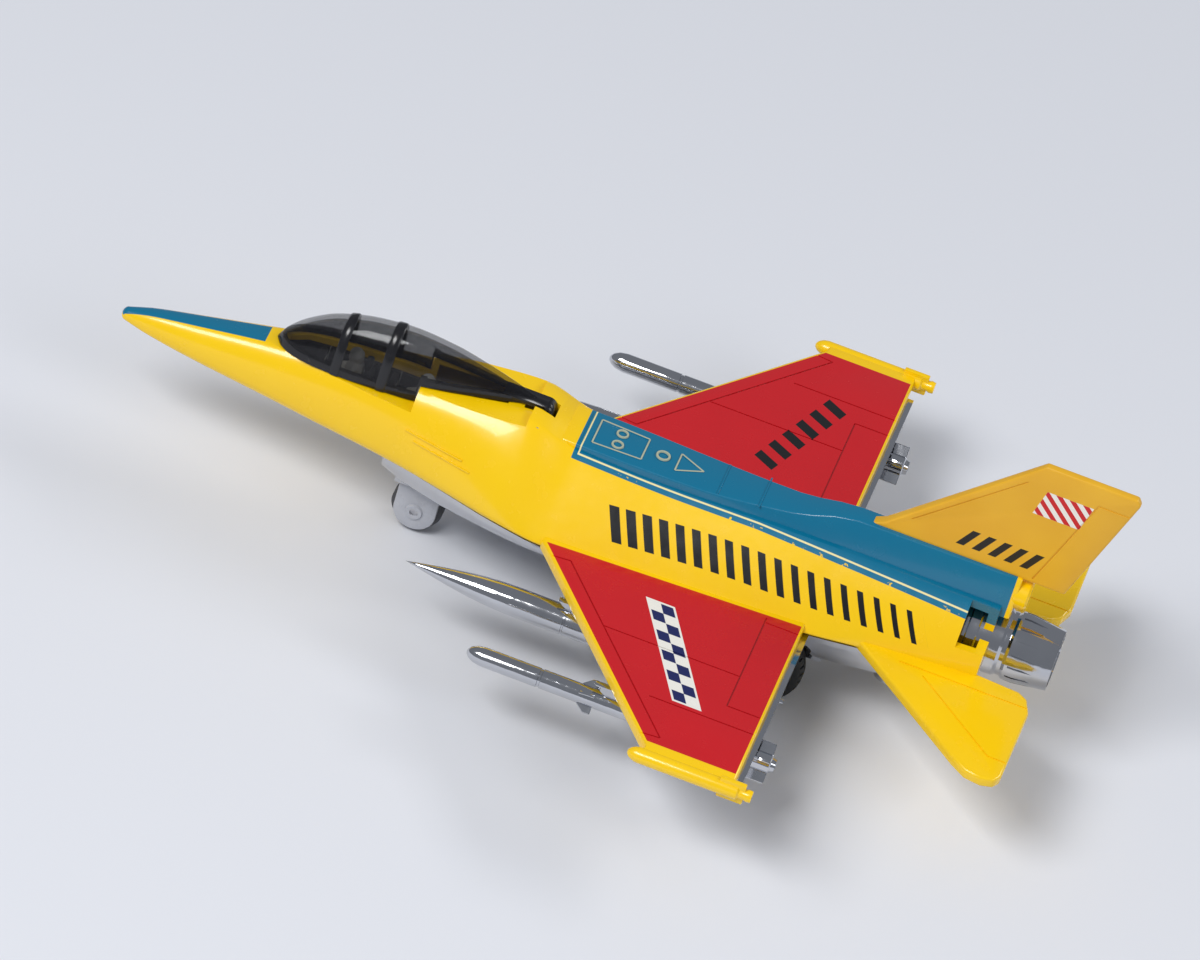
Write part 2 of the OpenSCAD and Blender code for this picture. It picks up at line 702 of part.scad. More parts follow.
module tyre() {
    difference() {
        union() {
            cross_pin([rear_x, rear_r], rear_r, wheel_inner_y + 0.6, wheel_inner_y + rear_w - 0.6);
            cross_pin([rear_x, rear_r], rear_r - 0.7, wheel_inner_y, wheel_inner_y + rear_w);
        }
        cross_pin([rear_x, rear_r], hub_r, 0, 40);
    }
}

module left_wheel_hub() {
    color("silver") wheel_hub();
}

module right_wheel_hub() {
    color("silver") mirror([0, 1, 0]) wheel_hub();
}

module left_tyre() {
    color([0.1, 0.1, 0.1]) tyre();
}

module right_tyre() {
    color([0.1, 0.1, 0.1]) mirror([0, 1, 0]) tyre();
}

// ---- Motor ---------------------------------------------------------------------------------

// One half of the case on the port side, open toward the middle plane
module case_half(screw_hole_r) {
    difference() {
        union() {
            translate([rear_x, 0, rear_r]) difference() {
                side_plate(0, motor_w / 2) polygon(case_outline);
                side_plate(-1, motor_inner_y) offset(delta = -motor_wall) polygon(case_outline);
            }
            for (p = case_screw_places) cross_pin(motor_place(p), case_boss_r, 0, motor_inner_y + eps);
        }
        for (p = case_screw_places) cross_pin(motor_place(p), screw_hole_r, -1, motor_w);
        cross_pin(motor_place(axle_pos), axle_r + axle_gap, 0, motor_w);
        cross_pin(motor_place(idler_pos), idler_shaft_r, 0, motor_w);
        cross_pin(motor_place(arbor_pos), arbor_r + axle_gap, 0, motor_w);
    }
}

// Mounting ear that reaches from the case's wall to a screw in the hull
module case_ear(ear, wall) {
    tip = ear[0] + ear_r * sign(ear[0] - wall);
    low = min(tip, wall);
    translate([rear_x, ear[1] * ear_y, axis_height + hull_pad_z]) difference() {
        translate([low, -ear_w / 2, 0]) cube([abs(tip - wall), ear_w, ear_t]);
        translate([ear[0], 0, -1]) cylinder(r = screw_r + fit_gap, h = 5);
    }
}

module motor_case_left() {
    color("white") {
        case_half(0.8);
        case_ear(motor_ears[0], case_outline[1][0]);
    }
}

module motor_case_right() {
    color("white") {
        mirror([0, 1, 0]) case_half(screw_r + fit_gap);
        case_ear(motor_ears[1], case_outline[0][0]);
        difference() {
            cross_pin(motor_place(arbor_pos), drum_r + 0.8, -motor_inner_y - eps, 0);
            cross_pin(motor_place(arbor_pos), drum_r, -motor_inner_y - 1, 1);
        }
    }
}

module drive_gear() {
    color("gold") difference() {
        cross_gear(axle_pos, drive_y, gear_m_fast, drive_teeth, pinion_addendum, idler_angle);
        cross_pin(motor_place(axle_pos), axle_r, 0, 10);
    }
}

module idler_shaft() {
    color("gray") cross_pin(motor_place(idler_pos), idler_shaft_r, -motor_w / 2 + 0.2, motor_w / 2 - 0.2);
}

module idler_gear() {
    color("ivory") difference() {
        union() {
            cross_gear(idler_pos, idler_y, gear_m_fast, idler_teeth, wheel_addendum,
                idler_angle + 180 + 180 / idler_teeth);
            cross_gear(idler_pos, [pinion_y[0], idler_y[0] + eps], gear_m_slow, pinion_teeth, pinion_addendum,
                arbor_angle);
        }
        cross_pin(motor_place(idler_pos), idler_shaft_r + axle_gap, -1, 10);
    }
}

module spring_arbor() {
    color("gray") cross_pin(motor_place(arbor_pos), arbor_r, -motor_w / 2 + 0.2, motor_w / 2 - 0.2);
}

module spring_gear() {
    color("ivory") difference() {
        cross_gear(arbor_pos, spring_gear_y, gear_m_slow, spring_teeth, wheel_addendum,
            arbor_angle + 180 + 180 / spring_teeth);
        cross_pin(motor_place(arbor_pos), arbor_r, -1, 10);
    }
}

module mainspring() {
    steps = 20;
    turn = (drum_r - 0.4 - arbor_r - spring_t) / spring_turns;
    spiral = [for (i = [0:steps * spring_turns]) [360 * i / steps, arbor_r + turn * i / steps]];
    translate([motor_place(arbor_pos)[0], 0, motor_place(arbor_pos)[1]]) color("steelblue")
        side_plate(mainspring_y[0], mainspring_y[1]) polygon(concat(
            [for (p = spiral) p[1] * [cos(p[0]), sin(p[0])]],
            [for (i = [len(spiral) - 1:-1:0]) let (p = spiral[i]) (p[1] + spring_t) * [cos(p[0]), sin(p[0])]]));
}

// ---- Screws --------------------------------------------------------------------------------

// Screw along +Z whose head's outer face is at the origin
module screw(l) {
    cylinder(r = screw_head_r, h = screw_head_t);
    cylinder(r = screw_r, h = l);
}

module motor_case_screws() {
    for (p = case_screw_places) color("gray") translate([motor_place(p)[0], -motor_w / 2 - screw_head_t,
        motor_place(p)[1]]) rotate([-90, 0, 0]) {
            cylinder(r = 1.7, h = screw_head_t);
            cylinder(r = 0.8, h = motor_w + screw_head_t - motor_wall);
        }
}

module motor_mounting_screws() {
    for (e = motor_ears) color("gray")
        translate([rear_x + e[0], ear_y * e[1], axis_height + hull_pad_z + ear_t + screw_head_t])
            rotate([180, 0, 0]) screw(screw_head_t + ear_t + 1.4);
}

module body_screws() {
    for (p = body_screw_places) color("gray")
        translate([station_x(p[0]), p[1], axis_height + screw_seat_z - screw_head_t])
            screw(screw_head_t + screw_reach);
}

upper_body();
tail_fin();
lower_hull();
exhaust_nozzle();
canopy();
canopy_hinge_pin();
cockpit_tub();
front_pilot();
rear_pilot();
left_drop_tank();
right_drop_tank();
left_missile();
right_missile();
nose_gear_fork();
nose_axle();
nose_wheel();
rear_axle();
left_wheel_hub();
right_wheel_hub();
left_tyre();
right_tyre();
motor_case_left();
motor_case_right();
drive_gear();
idler_shaft();
idler_gear();
spring_arbor();
spring_gear();
mainspring();
motor_case_screws();
motor_mounting_screws();
body_screws();
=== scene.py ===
# %% [markdown]
# A pull-back toy jet, built around its frame
# The frame already holds every physical piece of the toy at its true size and place. In this lesson the
# pieces that are seen get their finished shapes and finishes, and the pieces inside keep the frame's
# shapes and get a finish only. Everything is in metres, nose along +X, port along +Y, wheels on z = 0.

# %% Load the frame
import math

import bmesh
import bpy
from mathutils import Matrix, Vector


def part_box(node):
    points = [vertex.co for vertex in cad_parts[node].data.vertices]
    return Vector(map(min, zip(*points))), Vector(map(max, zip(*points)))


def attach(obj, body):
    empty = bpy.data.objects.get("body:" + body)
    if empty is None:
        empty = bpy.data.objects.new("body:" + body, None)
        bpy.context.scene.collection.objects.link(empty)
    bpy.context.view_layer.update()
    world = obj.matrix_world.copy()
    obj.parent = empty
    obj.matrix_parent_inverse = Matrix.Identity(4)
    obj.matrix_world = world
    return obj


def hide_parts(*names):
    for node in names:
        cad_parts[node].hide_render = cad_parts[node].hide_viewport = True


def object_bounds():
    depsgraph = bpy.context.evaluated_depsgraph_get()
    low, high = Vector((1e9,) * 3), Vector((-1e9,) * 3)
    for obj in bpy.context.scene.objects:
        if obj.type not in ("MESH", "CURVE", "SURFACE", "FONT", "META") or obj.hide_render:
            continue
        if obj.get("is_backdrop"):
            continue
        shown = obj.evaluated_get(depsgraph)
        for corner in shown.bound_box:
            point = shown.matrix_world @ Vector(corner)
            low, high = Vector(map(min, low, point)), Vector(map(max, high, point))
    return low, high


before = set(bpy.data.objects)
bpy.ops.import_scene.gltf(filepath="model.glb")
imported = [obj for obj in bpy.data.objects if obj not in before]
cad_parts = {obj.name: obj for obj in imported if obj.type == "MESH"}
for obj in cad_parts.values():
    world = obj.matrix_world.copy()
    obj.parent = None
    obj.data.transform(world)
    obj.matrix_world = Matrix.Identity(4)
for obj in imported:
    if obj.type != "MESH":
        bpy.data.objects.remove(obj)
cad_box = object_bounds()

bpy.ops.object.select_all(action="DESELECT")

# %% [markdown]
# The toy is measured as its maker would: a station is a distance aft of the nose tip, and a height is
# taken from the fuselage axis, which is the middle of the exhaust. Both are read from the frame, so a
# finished piece lands exactly where its piece in the frame is.

# %% Stations and heights
MM = 0.001
nose_tip_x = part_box("upper_body")[1].x
nozzle_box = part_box("exhaust_nozzle")
axis_z = (nozzle_box[0].z + nozzle_box[1].z) / 2
wing_tip_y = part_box("upper_body")[1].y
PORT, STARBOARD = 1, -1
SIDES = {"left": PORT, "right": STARBOARD}


def place(station, y, height):
    """A point of the toy from its station, its distance to port and its height, all in millimetres."""
    return Vector((nose_tip_x - station * MM, y * MM, axis_z + height * MM))


print("axis height %.1f mm, half span %.1f mm" % (axis_z / MM, wing_tip_y / MM))

# %% [markdown]
# Drawn tables give a section's sizes at a few stations. Straight lines between them would leave facets,
# and a free spline would bulge between them. A monotone cubic passes through every row and never
# overshoots, which is how a fair hull line is drawn with a batten.

# %% Fair lines through a table


def fair(rows, column, station):
    """The value of a table's column at a station, on a smooth line that doesn't overshoot."""
    if station <= rows[0][0]:
        return rows[0][column]
    if station >= rows[-1][0]:
        return rows[-1][column]
    steps = [b[0] - a[0] for a, b in zip(rows, rows[1:])]
    slopes = [(b[column] - a[column]) / h for a, b, h in zip(rows, rows[1:], steps)]
    bends = [slopes[0]] + [0 if a * b <= 0 else 2 * a * b / (a + b) for a, b in zip(slopes, slopes[1:])]
    bends.append(slopes[-1])
    k = max(i for i in range(len(steps)) if rows[i][0] <= station)
    h, t = steps[k], (station - rows[k][0]) / steps[k]
    low, high = rows[k][column], rows[k + 1][column]
    return (low * (1 + 2 * t) * (1 - t) ** 2 + h * bends[k] * t * (1 - t) ** 2
            + high * t * t * (3 - 2 * t) + h * bends[k + 1] * t * t * (t - 1))


def spread(first, last, step, keep=()):
    """Stations from first to last about a step apart, with some that are kept exactly."""
    count = max(1, round((last - first) / step))
    even = [first + (last - first) * i / count for i in range(count + 1)]
    inside = [s for s in keep if first < s < last]
    return sorted([s for s in even if all(abs(s - k) > step / 3 for k in inside)] + inside)


# %% [markdown]
# Every new piece is modelled as by hand: a primitive is added, then shaped in edit mode with operators.
# Three moves do most of the work. A loft starts from a circle and extrudes its ring once per section. A
# plate starts from a filled outline and extrudes it. A turned piece starts from a profile and spins it.

# %% Moves that shape a piece


def added(name):
    """Name the primitive that was just added, and show where the modelling of a piece starts."""
    piece = bpy.context.active_object
    piece.name = name
    piece.data.name = name
    bpy.ops.object.transform_apply(location=True, rotation=True, scale=True)
    return piece


def chosen(piece):
    """Make one piece the only selected and active one."""
    bpy.ops.object.select_all(action="DESELECT")
    piece.select_set(True)
    bpy.context.view_layer.objects.active = piece
    return piece


def edit(piece):
    """Enter edit mode on a piece and return its editable mesh."""
    chosen(piece)
    bpy.ops.object.mode_set(mode="EDIT")
    return bmesh.from_edit_mesh(piece.data)


def pick(piece, wanted):
    """In edit mode, select the points for which wanted(point) is true."""
    bpy.ops.mesh.select_mode(type="VERT")
    bpy.ops.mesh.select_all(action="DESELECT")
    mesh = bmesh.from_edit_mesh(piece.data)
    mesh.verts.index_update()
    for vert in mesh.verts:
        vert.select = wanted(vert)
    mesh.select_flush_mode()
    bmesh.update_edit_mesh(piece.data)


def done(piece, outward=True):
    """Leave edit mode, with doubles merged and every face pointing out."""
    bpy.ops.mesh.select_all(action="SELECT")
    bpy.ops.mesh.remove_doubles(threshold=1e-6)
    if outward:
        bpy.ops.mesh.normals_make_consistent(inside=False)
    bpy.ops.object.mode_set(mode="OBJECT")
    piece.select_set(False)
    return piece


def loft(name, rings, caps=(True, True)):
    """Extrude a circle's ring once per section, and pull its points onto that section."""
    count = len(rings[0])
    bpy.ops.mesh.primitive_circle_add(vertices=count, radius=MM, fill_type="NOTHING")
    piece = added(name)
    mesh = edit(piece)
    mesh.verts.ensure_lookup_table()
    for vert, point in zip(mesh.verts, rings[0]):
        vert.co = point
    bpy.ops.mesh.select_mode(type="EDGE")
    bpy.ops.mesh.select_all(action="SELECT")
    ring = list(range(count))
    for section in rings[1:]:
        bpy.ops.mesh.extrude_edges_move()
        mesh = bmesh.from_edit_mesh(piece.data)
        mesh.verts.index_update()
        mesh.verts.ensure_lookup_table()
        links = [[e.other_vert(mesh.verts[i]) for e in mesh.verts[i].link_edges] for i in ring]
        ring = [next(v.index for v in near if v.select) for near in links]
        for i, point in zip(ring, section):
            mesh.verts[i].co = point
    if caps[1]:
        bpy.ops.mesh.edge_face_add()
    if caps[0]:
        pick(piece, lambda vert: vert.index < count)
        bpy.ops.mesh.edge_face_add()
    bpy.ops.mesh.select_mode(type="VERT")
    return done(piece)


def plate(name, outline, rise):
    """Fill an outline of points and extrude it by a vector."""
    bpy.ops.mesh.primitive_circle_add(vertices=len(outline), radius=MM, fill_type="NGON")
    piece = added(name)
    mesh = edit(piece)
    mesh.verts.ensure_lookup_table()
    for vert, point in zip(mesh.verts, outline):
        vert.co = point
    bpy.ops.mesh.select_all(action="SELECT")
    bpy.ops.mesh.extrude_region_move(TRANSFORM_OT_translate={"value": rise})
    return done(piece)


def block(name, low, high):
    """A box between two corners."""
    low, high = Vector(low), Vector(high)
    bpy.ops.mesh.primitive_cube_add(size=1, location=(low + high) / 2, scale=high - low)
    return added(name)


def station_block(name, stations, ys, heights):
    """A box between two stations, two distances to port and two heights."""
    ends = [place(s, y, h) for s, y, h in zip(stations, ys, heights)]
    return block(name, [min(pair) for pair in zip(*ends)], [max(pair) for pair in zip(*ends)])


def turned(name, profile, start, along, steps=48):
    """Spin a profile of [distance along the axis, radius] about an axis that starts at a point."""
    start, along = Vector(start), Vector(along).normalized()
    side = along.orthogonal().normalized()
    bpy.ops.mesh.primitive_circle_add(vertices=len(profile) + 1, radius=MM, fill_type="NOTHING")
    piece = added(name)
    mesh = edit(piece)
    mesh.verts.ensure_lookup_table()
    for vert, (far, r) in zip(mesh.verts, profile):
        vert.co = start + along * far * MM + side * r * MM
    pick(piece, lambda vert: vert.index == len(profile))
    bpy.ops.mesh.delete(type="VERT")
    bpy.ops.mesh.select_all(action="SELECT")
    bpy.ops.mesh.spin(steps=steps, angle=2 * math.pi, center=start, axis=along)
    return done(piece)


def keep(piece, kind, **settings):
    """Add a modifier, set it, and apply it."""
    chosen(piece)
    modifier = piece.modifiers.new(kind.title(), kind)
    for name, value in settings.items():
        setattr(modifier, name, value)
    bpy.ops.object.modifier_apply(modifier=modifier.name)
    piece.select_set(False)
    return piece


def cut(piece, *tools):
    """Cut pieces away from a piece."""
    for tool in tools:
        keep(piece, "BOOLEAN", object=tool, operation="DIFFERENCE", solver="EXACT")
        bpy.data.objects.remove(tool)
    return piece


def soften(piece, width, segments=2, angle=40):
    """Round the sharp edges of a piece, as paint, plating and moulding all do."""
    return keep(piece, "BEVEL", width=width * MM, segments=segments, limit_method="ANGLE",
                angle_limit=math.radians(angle), harden_normals=False)


def smooth(piece, angle=30):
    """Shade a piece smooth, except over edges sharper than an angle."""
    chosen(piece)
    bpy.ops.object.shade_smooth_by_angle(angle=math.radians(angle))
    piece.select_set(False)
    return piece


def swung(piece, middle, angle, axis):
    """Swing a piece's mesh about a point by an angle, on one of the frame's axes."""
    turn = Matrix.Rotation(angle, 4, axis)
    piece.data.transform(Matrix.Translation(middle) @ turn @ Matrix.Translation(-middle))
    return piece


def joined(name, *pieces):
    """Join pieces that are one moulding into one object."""
    chosen(pieces[0])
    for piece in pieces:
        piece.select_set(True)
    bpy.ops.object.join()
    pieces[0].name = name
    pieces[0].data.name = name
    pieces[0].select_set(False)
    return pieces[0]


def mirrored(piece, name):
    """A copy of a piece on the other side, with its own mesh."""
    chosen(piece)
    bpy.ops.object.duplicate(linked=False)
    copy = bpy.context.active_object
    copy.name = name
    copy.data.name = name
    copy.scale.y = -1
    bpy.ops.object.transform_apply(location=True, rotation=True, scale=True)
    edit(copy)
    bpy.ops.mesh.select_all(action="SELECT")
    bpy.ops.mesh.normals_make_consistent(inside=False)
    bpy.ops.object.mode_set(mode="OBJECT")
    copy.select_set(False)
    return copy


def assigned(piece, body, nodes=(), finish=None):
    """Say which body a piece moves with, which nodes of the frame it stands for, and what it is made of."""
    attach(piece, body)
    if nodes:
        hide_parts(*nodes)
    if finish:
        piece.data.materials.clear()
        piece.data.materials.append(finish)
    return piece


def healed(piece, span=0.004):
    """Merge the slivers that boolean cuts leave, and fill a seam that they left open."""
    edit(piece)
    bpy.ops.mesh.select_all(action="SELECT")
    bpy.ops.mesh.remove_doubles(threshold=span * MM)
    bpy.ops.mesh.dissolve_degenerate(threshold=span * MM)
    bpy.ops.mesh.select_all(action="DESELECT")
    bpy.ops.mesh.select_non_manifold(extend=False, use_wire=True, use_multi_face=False,
                                     use_non_contiguous=False)
    bpy.ops.mesh.fill_holes(sides=0)
    bpy.ops.object.mode_set(mode="OBJECT")
    piece.select_set(False)
    return piece


print("moves are ready")

# %% [markdown]
# Materials are written as sums. A Value wraps a socket, and + - * / on it add Math nodes, so a paint
# line reads like its formula. A Finish is one material: it makes any other node through one method.

# %% Shader maths
EDGE = 0.05


class Value:
    """A number on its way through a material."""

    def __init__(self, finish, socket):
        self.finish, self.socket = finish, socket

    def math(self, operation, *others, first=False):
        order = [self, *others] if not first else [*others, self]
        return self.finish.add("ShaderNodeMath", {"operation": operation}, dict(enumerate(order)))

    def __add__(self, other): return self.math("ADD", other)
    def __sub__(self, other): return self.math("SUBTRACT", other)
    def __mul__(self, other): return self.math("MULTIPLY", other)
    def __truediv__(self, other): return self.math("DIVIDE", other)
    def __rsub__(self, other): return self.math("SUBTRACT", other, first=True)
    def __abs__(self): return self.math("ABSOLUTE")
    __radd__, __rmul__ = __add__, __mul__

    def part(self): return self.math("FRACT")
    def low(self, other): return self.math("MINIMUM", other)
    def high(self, other): return self.math("MAXIMUM", other)

    def above(self, edge, blur=EDGE):
        """1 where the value is over an edge, 0 under it, with a blurred step."""
        step = (self - edge) * (1 / blur) + 0.5
        step.socket.node.use_clamp = True
        return step

    def below(self, edge, blur=EDGE):
        return 1 - self.above(edge, blur)

    def between(self, low, high, blur=EDGE):
        return self.above(low, blur) * self.below(high, blur)

    def near(self, middle, half, blur=EDGE):
        """1 within half of a middle value, and 0 elsewhere."""
        return abs(self - middle).below(half, blur)


class Finish:
    """One material, with its Principled shader and the place on the toy that its patterns read."""

    def __init__(self, name, color=(0.8, 0.8, 0.8), **constants):
        self.material = bpy.data.materials.new(name)
        self.material.use_nodes = True
        self.tree = self.material.node_tree
        self.shader = self.tree.nodes["Principled BSDF"]
        self.shader.inputs["Base Color"].default_value = (*color, 1)
        for socket, value in constants.items():
            self.shader.inputs[socket.replace("_", " ")].default_value = value
        where = self.tree.nodes.new("ShaderNodeTexCoord")
        self.where = where.outputs["Object"]
        split = self.tree.nodes.new("ShaderNodeSeparateXYZ")
        self.tree.links.new(self.where, split.inputs[0])
        self.x, self.y, self.z = (Value(self, out) for out in split.outputs)

    def add(self, kind, settings=None, inputs=None, out=0):
        """Add a node: its settings first, then the values or links of its sockets."""
        node = self.tree.nodes.new(kind)
        for name, value in (settings or {}).items():
            setattr(node, name, value)
        for name, value in (inputs or {}).items():
            socket = node.inputs[name]
            if isinstance(value, Value):
                self.tree.links.new(value.socket, socket)
            elif isinstance(value, bpy.types.NodeSocket):
                self.tree.links.new(value, socket)
            elif socket.type == "RGBA":
                socket.default_value = (*value, 1)
            else:
                socket.default_value = value
        return Value(self, node.outputs[out])

    def mix(self, mask, under, over):
        """One colour over another where a mask is 1."""
        return self.add("ShaderNodeMix", {"data_type": "RGBA"}, {0: mask, 6: under, 7: over}, out=2)

    def grain(self, size, detail=3, stretch=(1, 1, 1)):
        """Noise with features of a size in metres, from 0 to 1."""
        where = self.add("ShaderNodeMapping", None, {"Vector": self.where, "Scale": stretch})
        return self.add("ShaderNodeTexNoise", None, {"Vector": where, "Scale": 1 / size, "Detail": detail})

    def bump(self, height, depth):
        """Dent the surface by a height, whose full range is a depth in metres."""
        normal = self.add("ShaderNodeBump", None, {"Height": height, "Distance": depth, "Strength": 1.0})
        self.set(Normal=normal)

    def set(self, **sockets):
        for name, value in sockets.items():
            self.tree.links.new(value.socket, self.shader.inputs[name.replace("_", " ")])
        return self.material


def paint_color(red, green, blue):
    """A colour given in screen values from 0 to 255, as the linear colour that a shader takes."""
    parts = [c / 255 for c in (red, green, blue)]
    return tuple(c / 12.92 if c <= 0.04045 else ((c + 0.055) / 1.055) ** 2.4 for c in parts)


print("shader maths is ready")

# %% [markdown]
# ## The camera and the studio
# The camera looks from port, a little aft of abeam and 39 degrees down, rolled so that the toy's nose is
# at the upper left. A long lens two metres away keeps the perspective calm.

# %% Camera
camera_place = Vector((-0.1557, 1.6382, 1.3631))
camera_up = Vector((0.347, -0.548, 0.761))
aim = Vector((0.0005, 0.004, 0.0285))
forward = (aim - camera_place).normalized()
right = forward.cross(camera_up).normalized()
upward = right.cross(forward)
lens_data = bpy.data.cameras.new("studio_camera")
camera = bpy.data.objects.new("studio_camera", lens_data)
bpy.context.scene.collection.objects.link(camera)
camera.matrix_world = Matrix([(right[i], upward[i], -forward[i], camera_place[i]) for i in range(3)]
                             + [(0, 0, 0, 1)])
lens_data.lens = 345
lens_data.sensor_width = 36
lens_data.clip_end = 20
bpy.context.scene.camera = camera
print("camera looks along", [round(c, 3) for c in forward])

# %% [markdown]
# Plated plastic has no colour of its own: it shows the room. So the room is a pale floor, three soft
# lamps that leave white highlights, and a greyer far field that leaves the dark edges chrome needs.

# %% Studio
FLOOR_SIZE = 6
bpy.ops.mesh.primitive_grid_add(size=FLOOR_SIZE, x_subdivisions=2, y_subdivisions=2)
floor = added("studio_floor")
floor.select_set(False)
paper = Finish("studio_paper", paint_color(226, 228, 234), Roughness=0.85)
floor.data.materials.append(paper.material)
floor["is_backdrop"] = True

world = bpy.data.worlds.new("studio_room")
bpy.context.scene.world = world
world.use_nodes = True
world.node_tree.nodes["Background"].inputs["Color"].default_value = (0.55, 0.58, 0.64, 1)
world.node_tree.nodes["Background"].inputs["Strength"].default_value = 0.4


def lamp(name, where, size, watts, tint=(1, 1, 1)):
    """A soft square lamp that faces the toy."""
    data = bpy.data.lights.new(name, "AREA")
    data.shape = "RECTANGLE"
    data.size, data.size_y = size
    data.energy = watts
    data.color = tint
    light = bpy.data.objects.new(name, data)
    bpy.context.scene.collection.objects.link(light)
    light.location = where
    light.rotation_euler = (-Vector(where)).to_track_quat("-Z", "Y").to_euler()
    return light


lamp("key_lamp", (0.55, 0.75, 1.15), (0.7, 0.5), 14)
lamp("fill_lamp", (-0.9, 0.5, 0.8), (0.6, 0.6), 3.4, (0.95, 0.97, 1))
lamp("back_lamp", (-1.1, -0.75, 1.0), (0.9, 0.3), 6)
bpy.context.scene.view_settings.view_transform = "Standard"

# %% [markdown]
# ## The body casting
# The upper body is one zinc casting: fuselage, wings, tailplanes and spine. Its fuselage could be a tube
# that is scaled along its length, but the section changes from an oval nose to a flat-topped wedge, so it
# is a loft. Each row of the table below is one section, and the shoulder's roundness goes from an ellipse
# at 2 to a straight slope near 1.

# %% Sections of the fuselage
SPLIT = -2.7
WALL = 1.6
# station, half-width, half-width of the flat top, top, edge, bottom, roundness of the shoulder
BODY = [
    (1.2, 1.4, 0, 1.4, 0, -1.1, 2), (5, 2.4, 0.2, 2.6, 0, -1.7, 2), (14, 3.9, 0.7, 4.5, 0, -2.7, 2),
    (30, 6.1, 1.8, 7.7, 0, -3.8, 2), (44, 8.4, 3.6, 10, -0.2, -4.4, 2),
        (58, 11.2, 4.7, 12.4, -0.5, -4.4, 1.8),
    (68, 14, 5.5, 14, -0.9, -4, 1.5), (79, 17.2, 5.8, 14.9, -1.3, -3.3, 1.3),
    (89, 19, 6.3, 12, -1.5, SPLIT, 1.1), (112, 18.1, 5.8, 11, -1.5, SPLIT, 1.1),
    (139.6, 16, 5.1, 11, -1.5, SPLIT, 1.15), (151, 14.1, 4.7, 10.8, -1.5, SPLIT, 1.3),
    (172, 11.8, 4.2, 10.4, -1.5, SPLIT, 1.5)]
QUARTER = 14


def bow(width, height, i, roundness):
    """A point of a quarter superellipse, from its side at i = 0 to its top."""
    angle = math.pi / 2 * i / QUARTER
    return width * math.cos(angle) ** (2 / roundness), height * math.sin(angle) ** (2 / roundness)


def closed_ring(over, edge, width, bottom, roundness, station):
    """A section's ring: the points of its port upper half, the same to starboard, and a rounded underside."""
    under = [bow(width, edge - bottom, i, roundness) for i in range(1, QUARTER + 1)]
    left = [(-y, edge - h) for y, h in under]
    right = [(y, edge - h) for y, h in under[-2::-1]]
    flat = over + [(-y, z) for y, z in reversed(over)] + left + right
    return [place(station, y, z) for y, z in flat]


def body_ring(station, inset=0.0, bottom=None):
    """The fuselage's section at a station, shrunk by a wall."""
    tip = 1.2
    width, flat, top, edge, low, roundness = (fair(BODY, c, max(station, tip)) for c in range(1, 7))
    size = math.sqrt(max(1e-4, 1 - (1 - station / tip) ** 2)) if station < tip else 1
    width, top, low, flat = (width - inset) * size, (top - inset) * size, low * size, flat * size
    flat = max(min(flat, width - 0.2), 0.02)
    over = [bow(width - flat, top - edge, i, roundness) for i in range(QUARTER + 1)]
    over = [(flat + y, edge + z) for y, z in over]
    return closed_ring(over, edge, width, low if bottom is None else bottom, 3, station)


stations = [0, 0.1, 0.35, 0.7] + spread(1.2, 172, 1.8, [row[0] for row in BODY])
fuselage = loft("body_fuselage", [body_ring(s) for s in stations])
print("fuselage lofted through", len(stations), "sections")

# %% [markdown]
# The casting is hollow, open below for the motor, with a stepped sill and a well for the crew and a
# round mouth for the exhaust. A caster makes these with cores. Here they are cut with boolean tools, in
# the order that the cores come out.

# %% Core the fuselage
SILL_LOW = [(28, 7.4), (57.9, 8.7)]
SILL_HIGH = [(57.9, 12.1), (78.9, 13.9)]
WELL = [(31.4, 1.6), (34.6, 3.5), (41, 4.5), (59, 4.5), (68, 3.3), (74, 2.2)]
NOZZLE_R = 6.7
HINGE = (80.8, 13.6)


def side_plate(name, outline, half, y=0):
    """A plate drawn in the side view, half to each side of a distance to port."""
    return plate(name, [place(s, y - half, z) for s, z in outline], (0, 2 * half * MM, 0))


def plan_plate(name, outline, low, high):
    """A plate whose outline is drawn in plan, between two heights."""
    return plate(name, [place(s, y, low) for s, y in outline], (0, 0, (high - low) * MM))


def cross_pin(name, station, height, r, low_y, high_y, steps=32):
    """A cylinder across the toy."""
    return turned(name, [(0, 0), (0, r), (high_y - low_y, r), (high_y - low_y, 0)],
                  place(station, low_y, height), (0, 1, 0), steps)


cavity = loft("cavity_core", [body_ring(s, WALL, -12) for s in spread(59, 170.2, 4)])
below = station_block("flat_core", (55, 190), (-80, 80), (-14, SPLIT))
sky = side_plate("sill_core", SILL_LOW + SILL_HIGH + [(78.9, 30), (28, 30)], 30)
well = plan_plate("well_core", WELL + [(s, -y) for s, y in reversed(WELL)], -0.4, 30)
slot = station_block("hinge_core", (77, 83), (-2, 2), (11.7, 20))
mouth = turned("mouth_core", [(0, 0), (0, NOZZLE_R + 0.15), (14, NOZZLE_R + 0.15), (14, 0)],
               place(168.5, 0, 0), (-1, 0, 0), 64)
notches = [station_block("notch_core", (166.6, 176), (side * 4.7, side * 16), (3.4, 14))
           for side in SIDES.values()]
cut(fuselage, cavity, below, sky, well, slot, mouth, *notches)
smooth(fuselage, 28)
print("fuselage cored:", len(fuselage.data.polygons), "faces")

# %% [markdown]
# The spine is a ridge of its own, a trapezium in section that rises under the fin. Its corners are
# rounded by a bevel because thick enamel never sits on a knife edge.

# %% Spine
SPINE = [(85.5, 6.2, 5.6, 12.9), (94, 6.2, 5.6, 12.8), (112, 5.8, 5.1, 12.6), (130, 5.4, 3.3, 13.7),
         (142, 5.1, 2.1, 16.4), (174, 4, 1.8, 16.4)]
SPINE_BASE = 8.3


def spine_ring(station):
    foot, head, top = (fair(SPINE, c, station) for c in (1, 2, 3))
    return [place(station, y, z) for y,
            z in ((foot, SPINE_BASE), (head, top), (-head, top), (-foot, SPINE_BASE))]


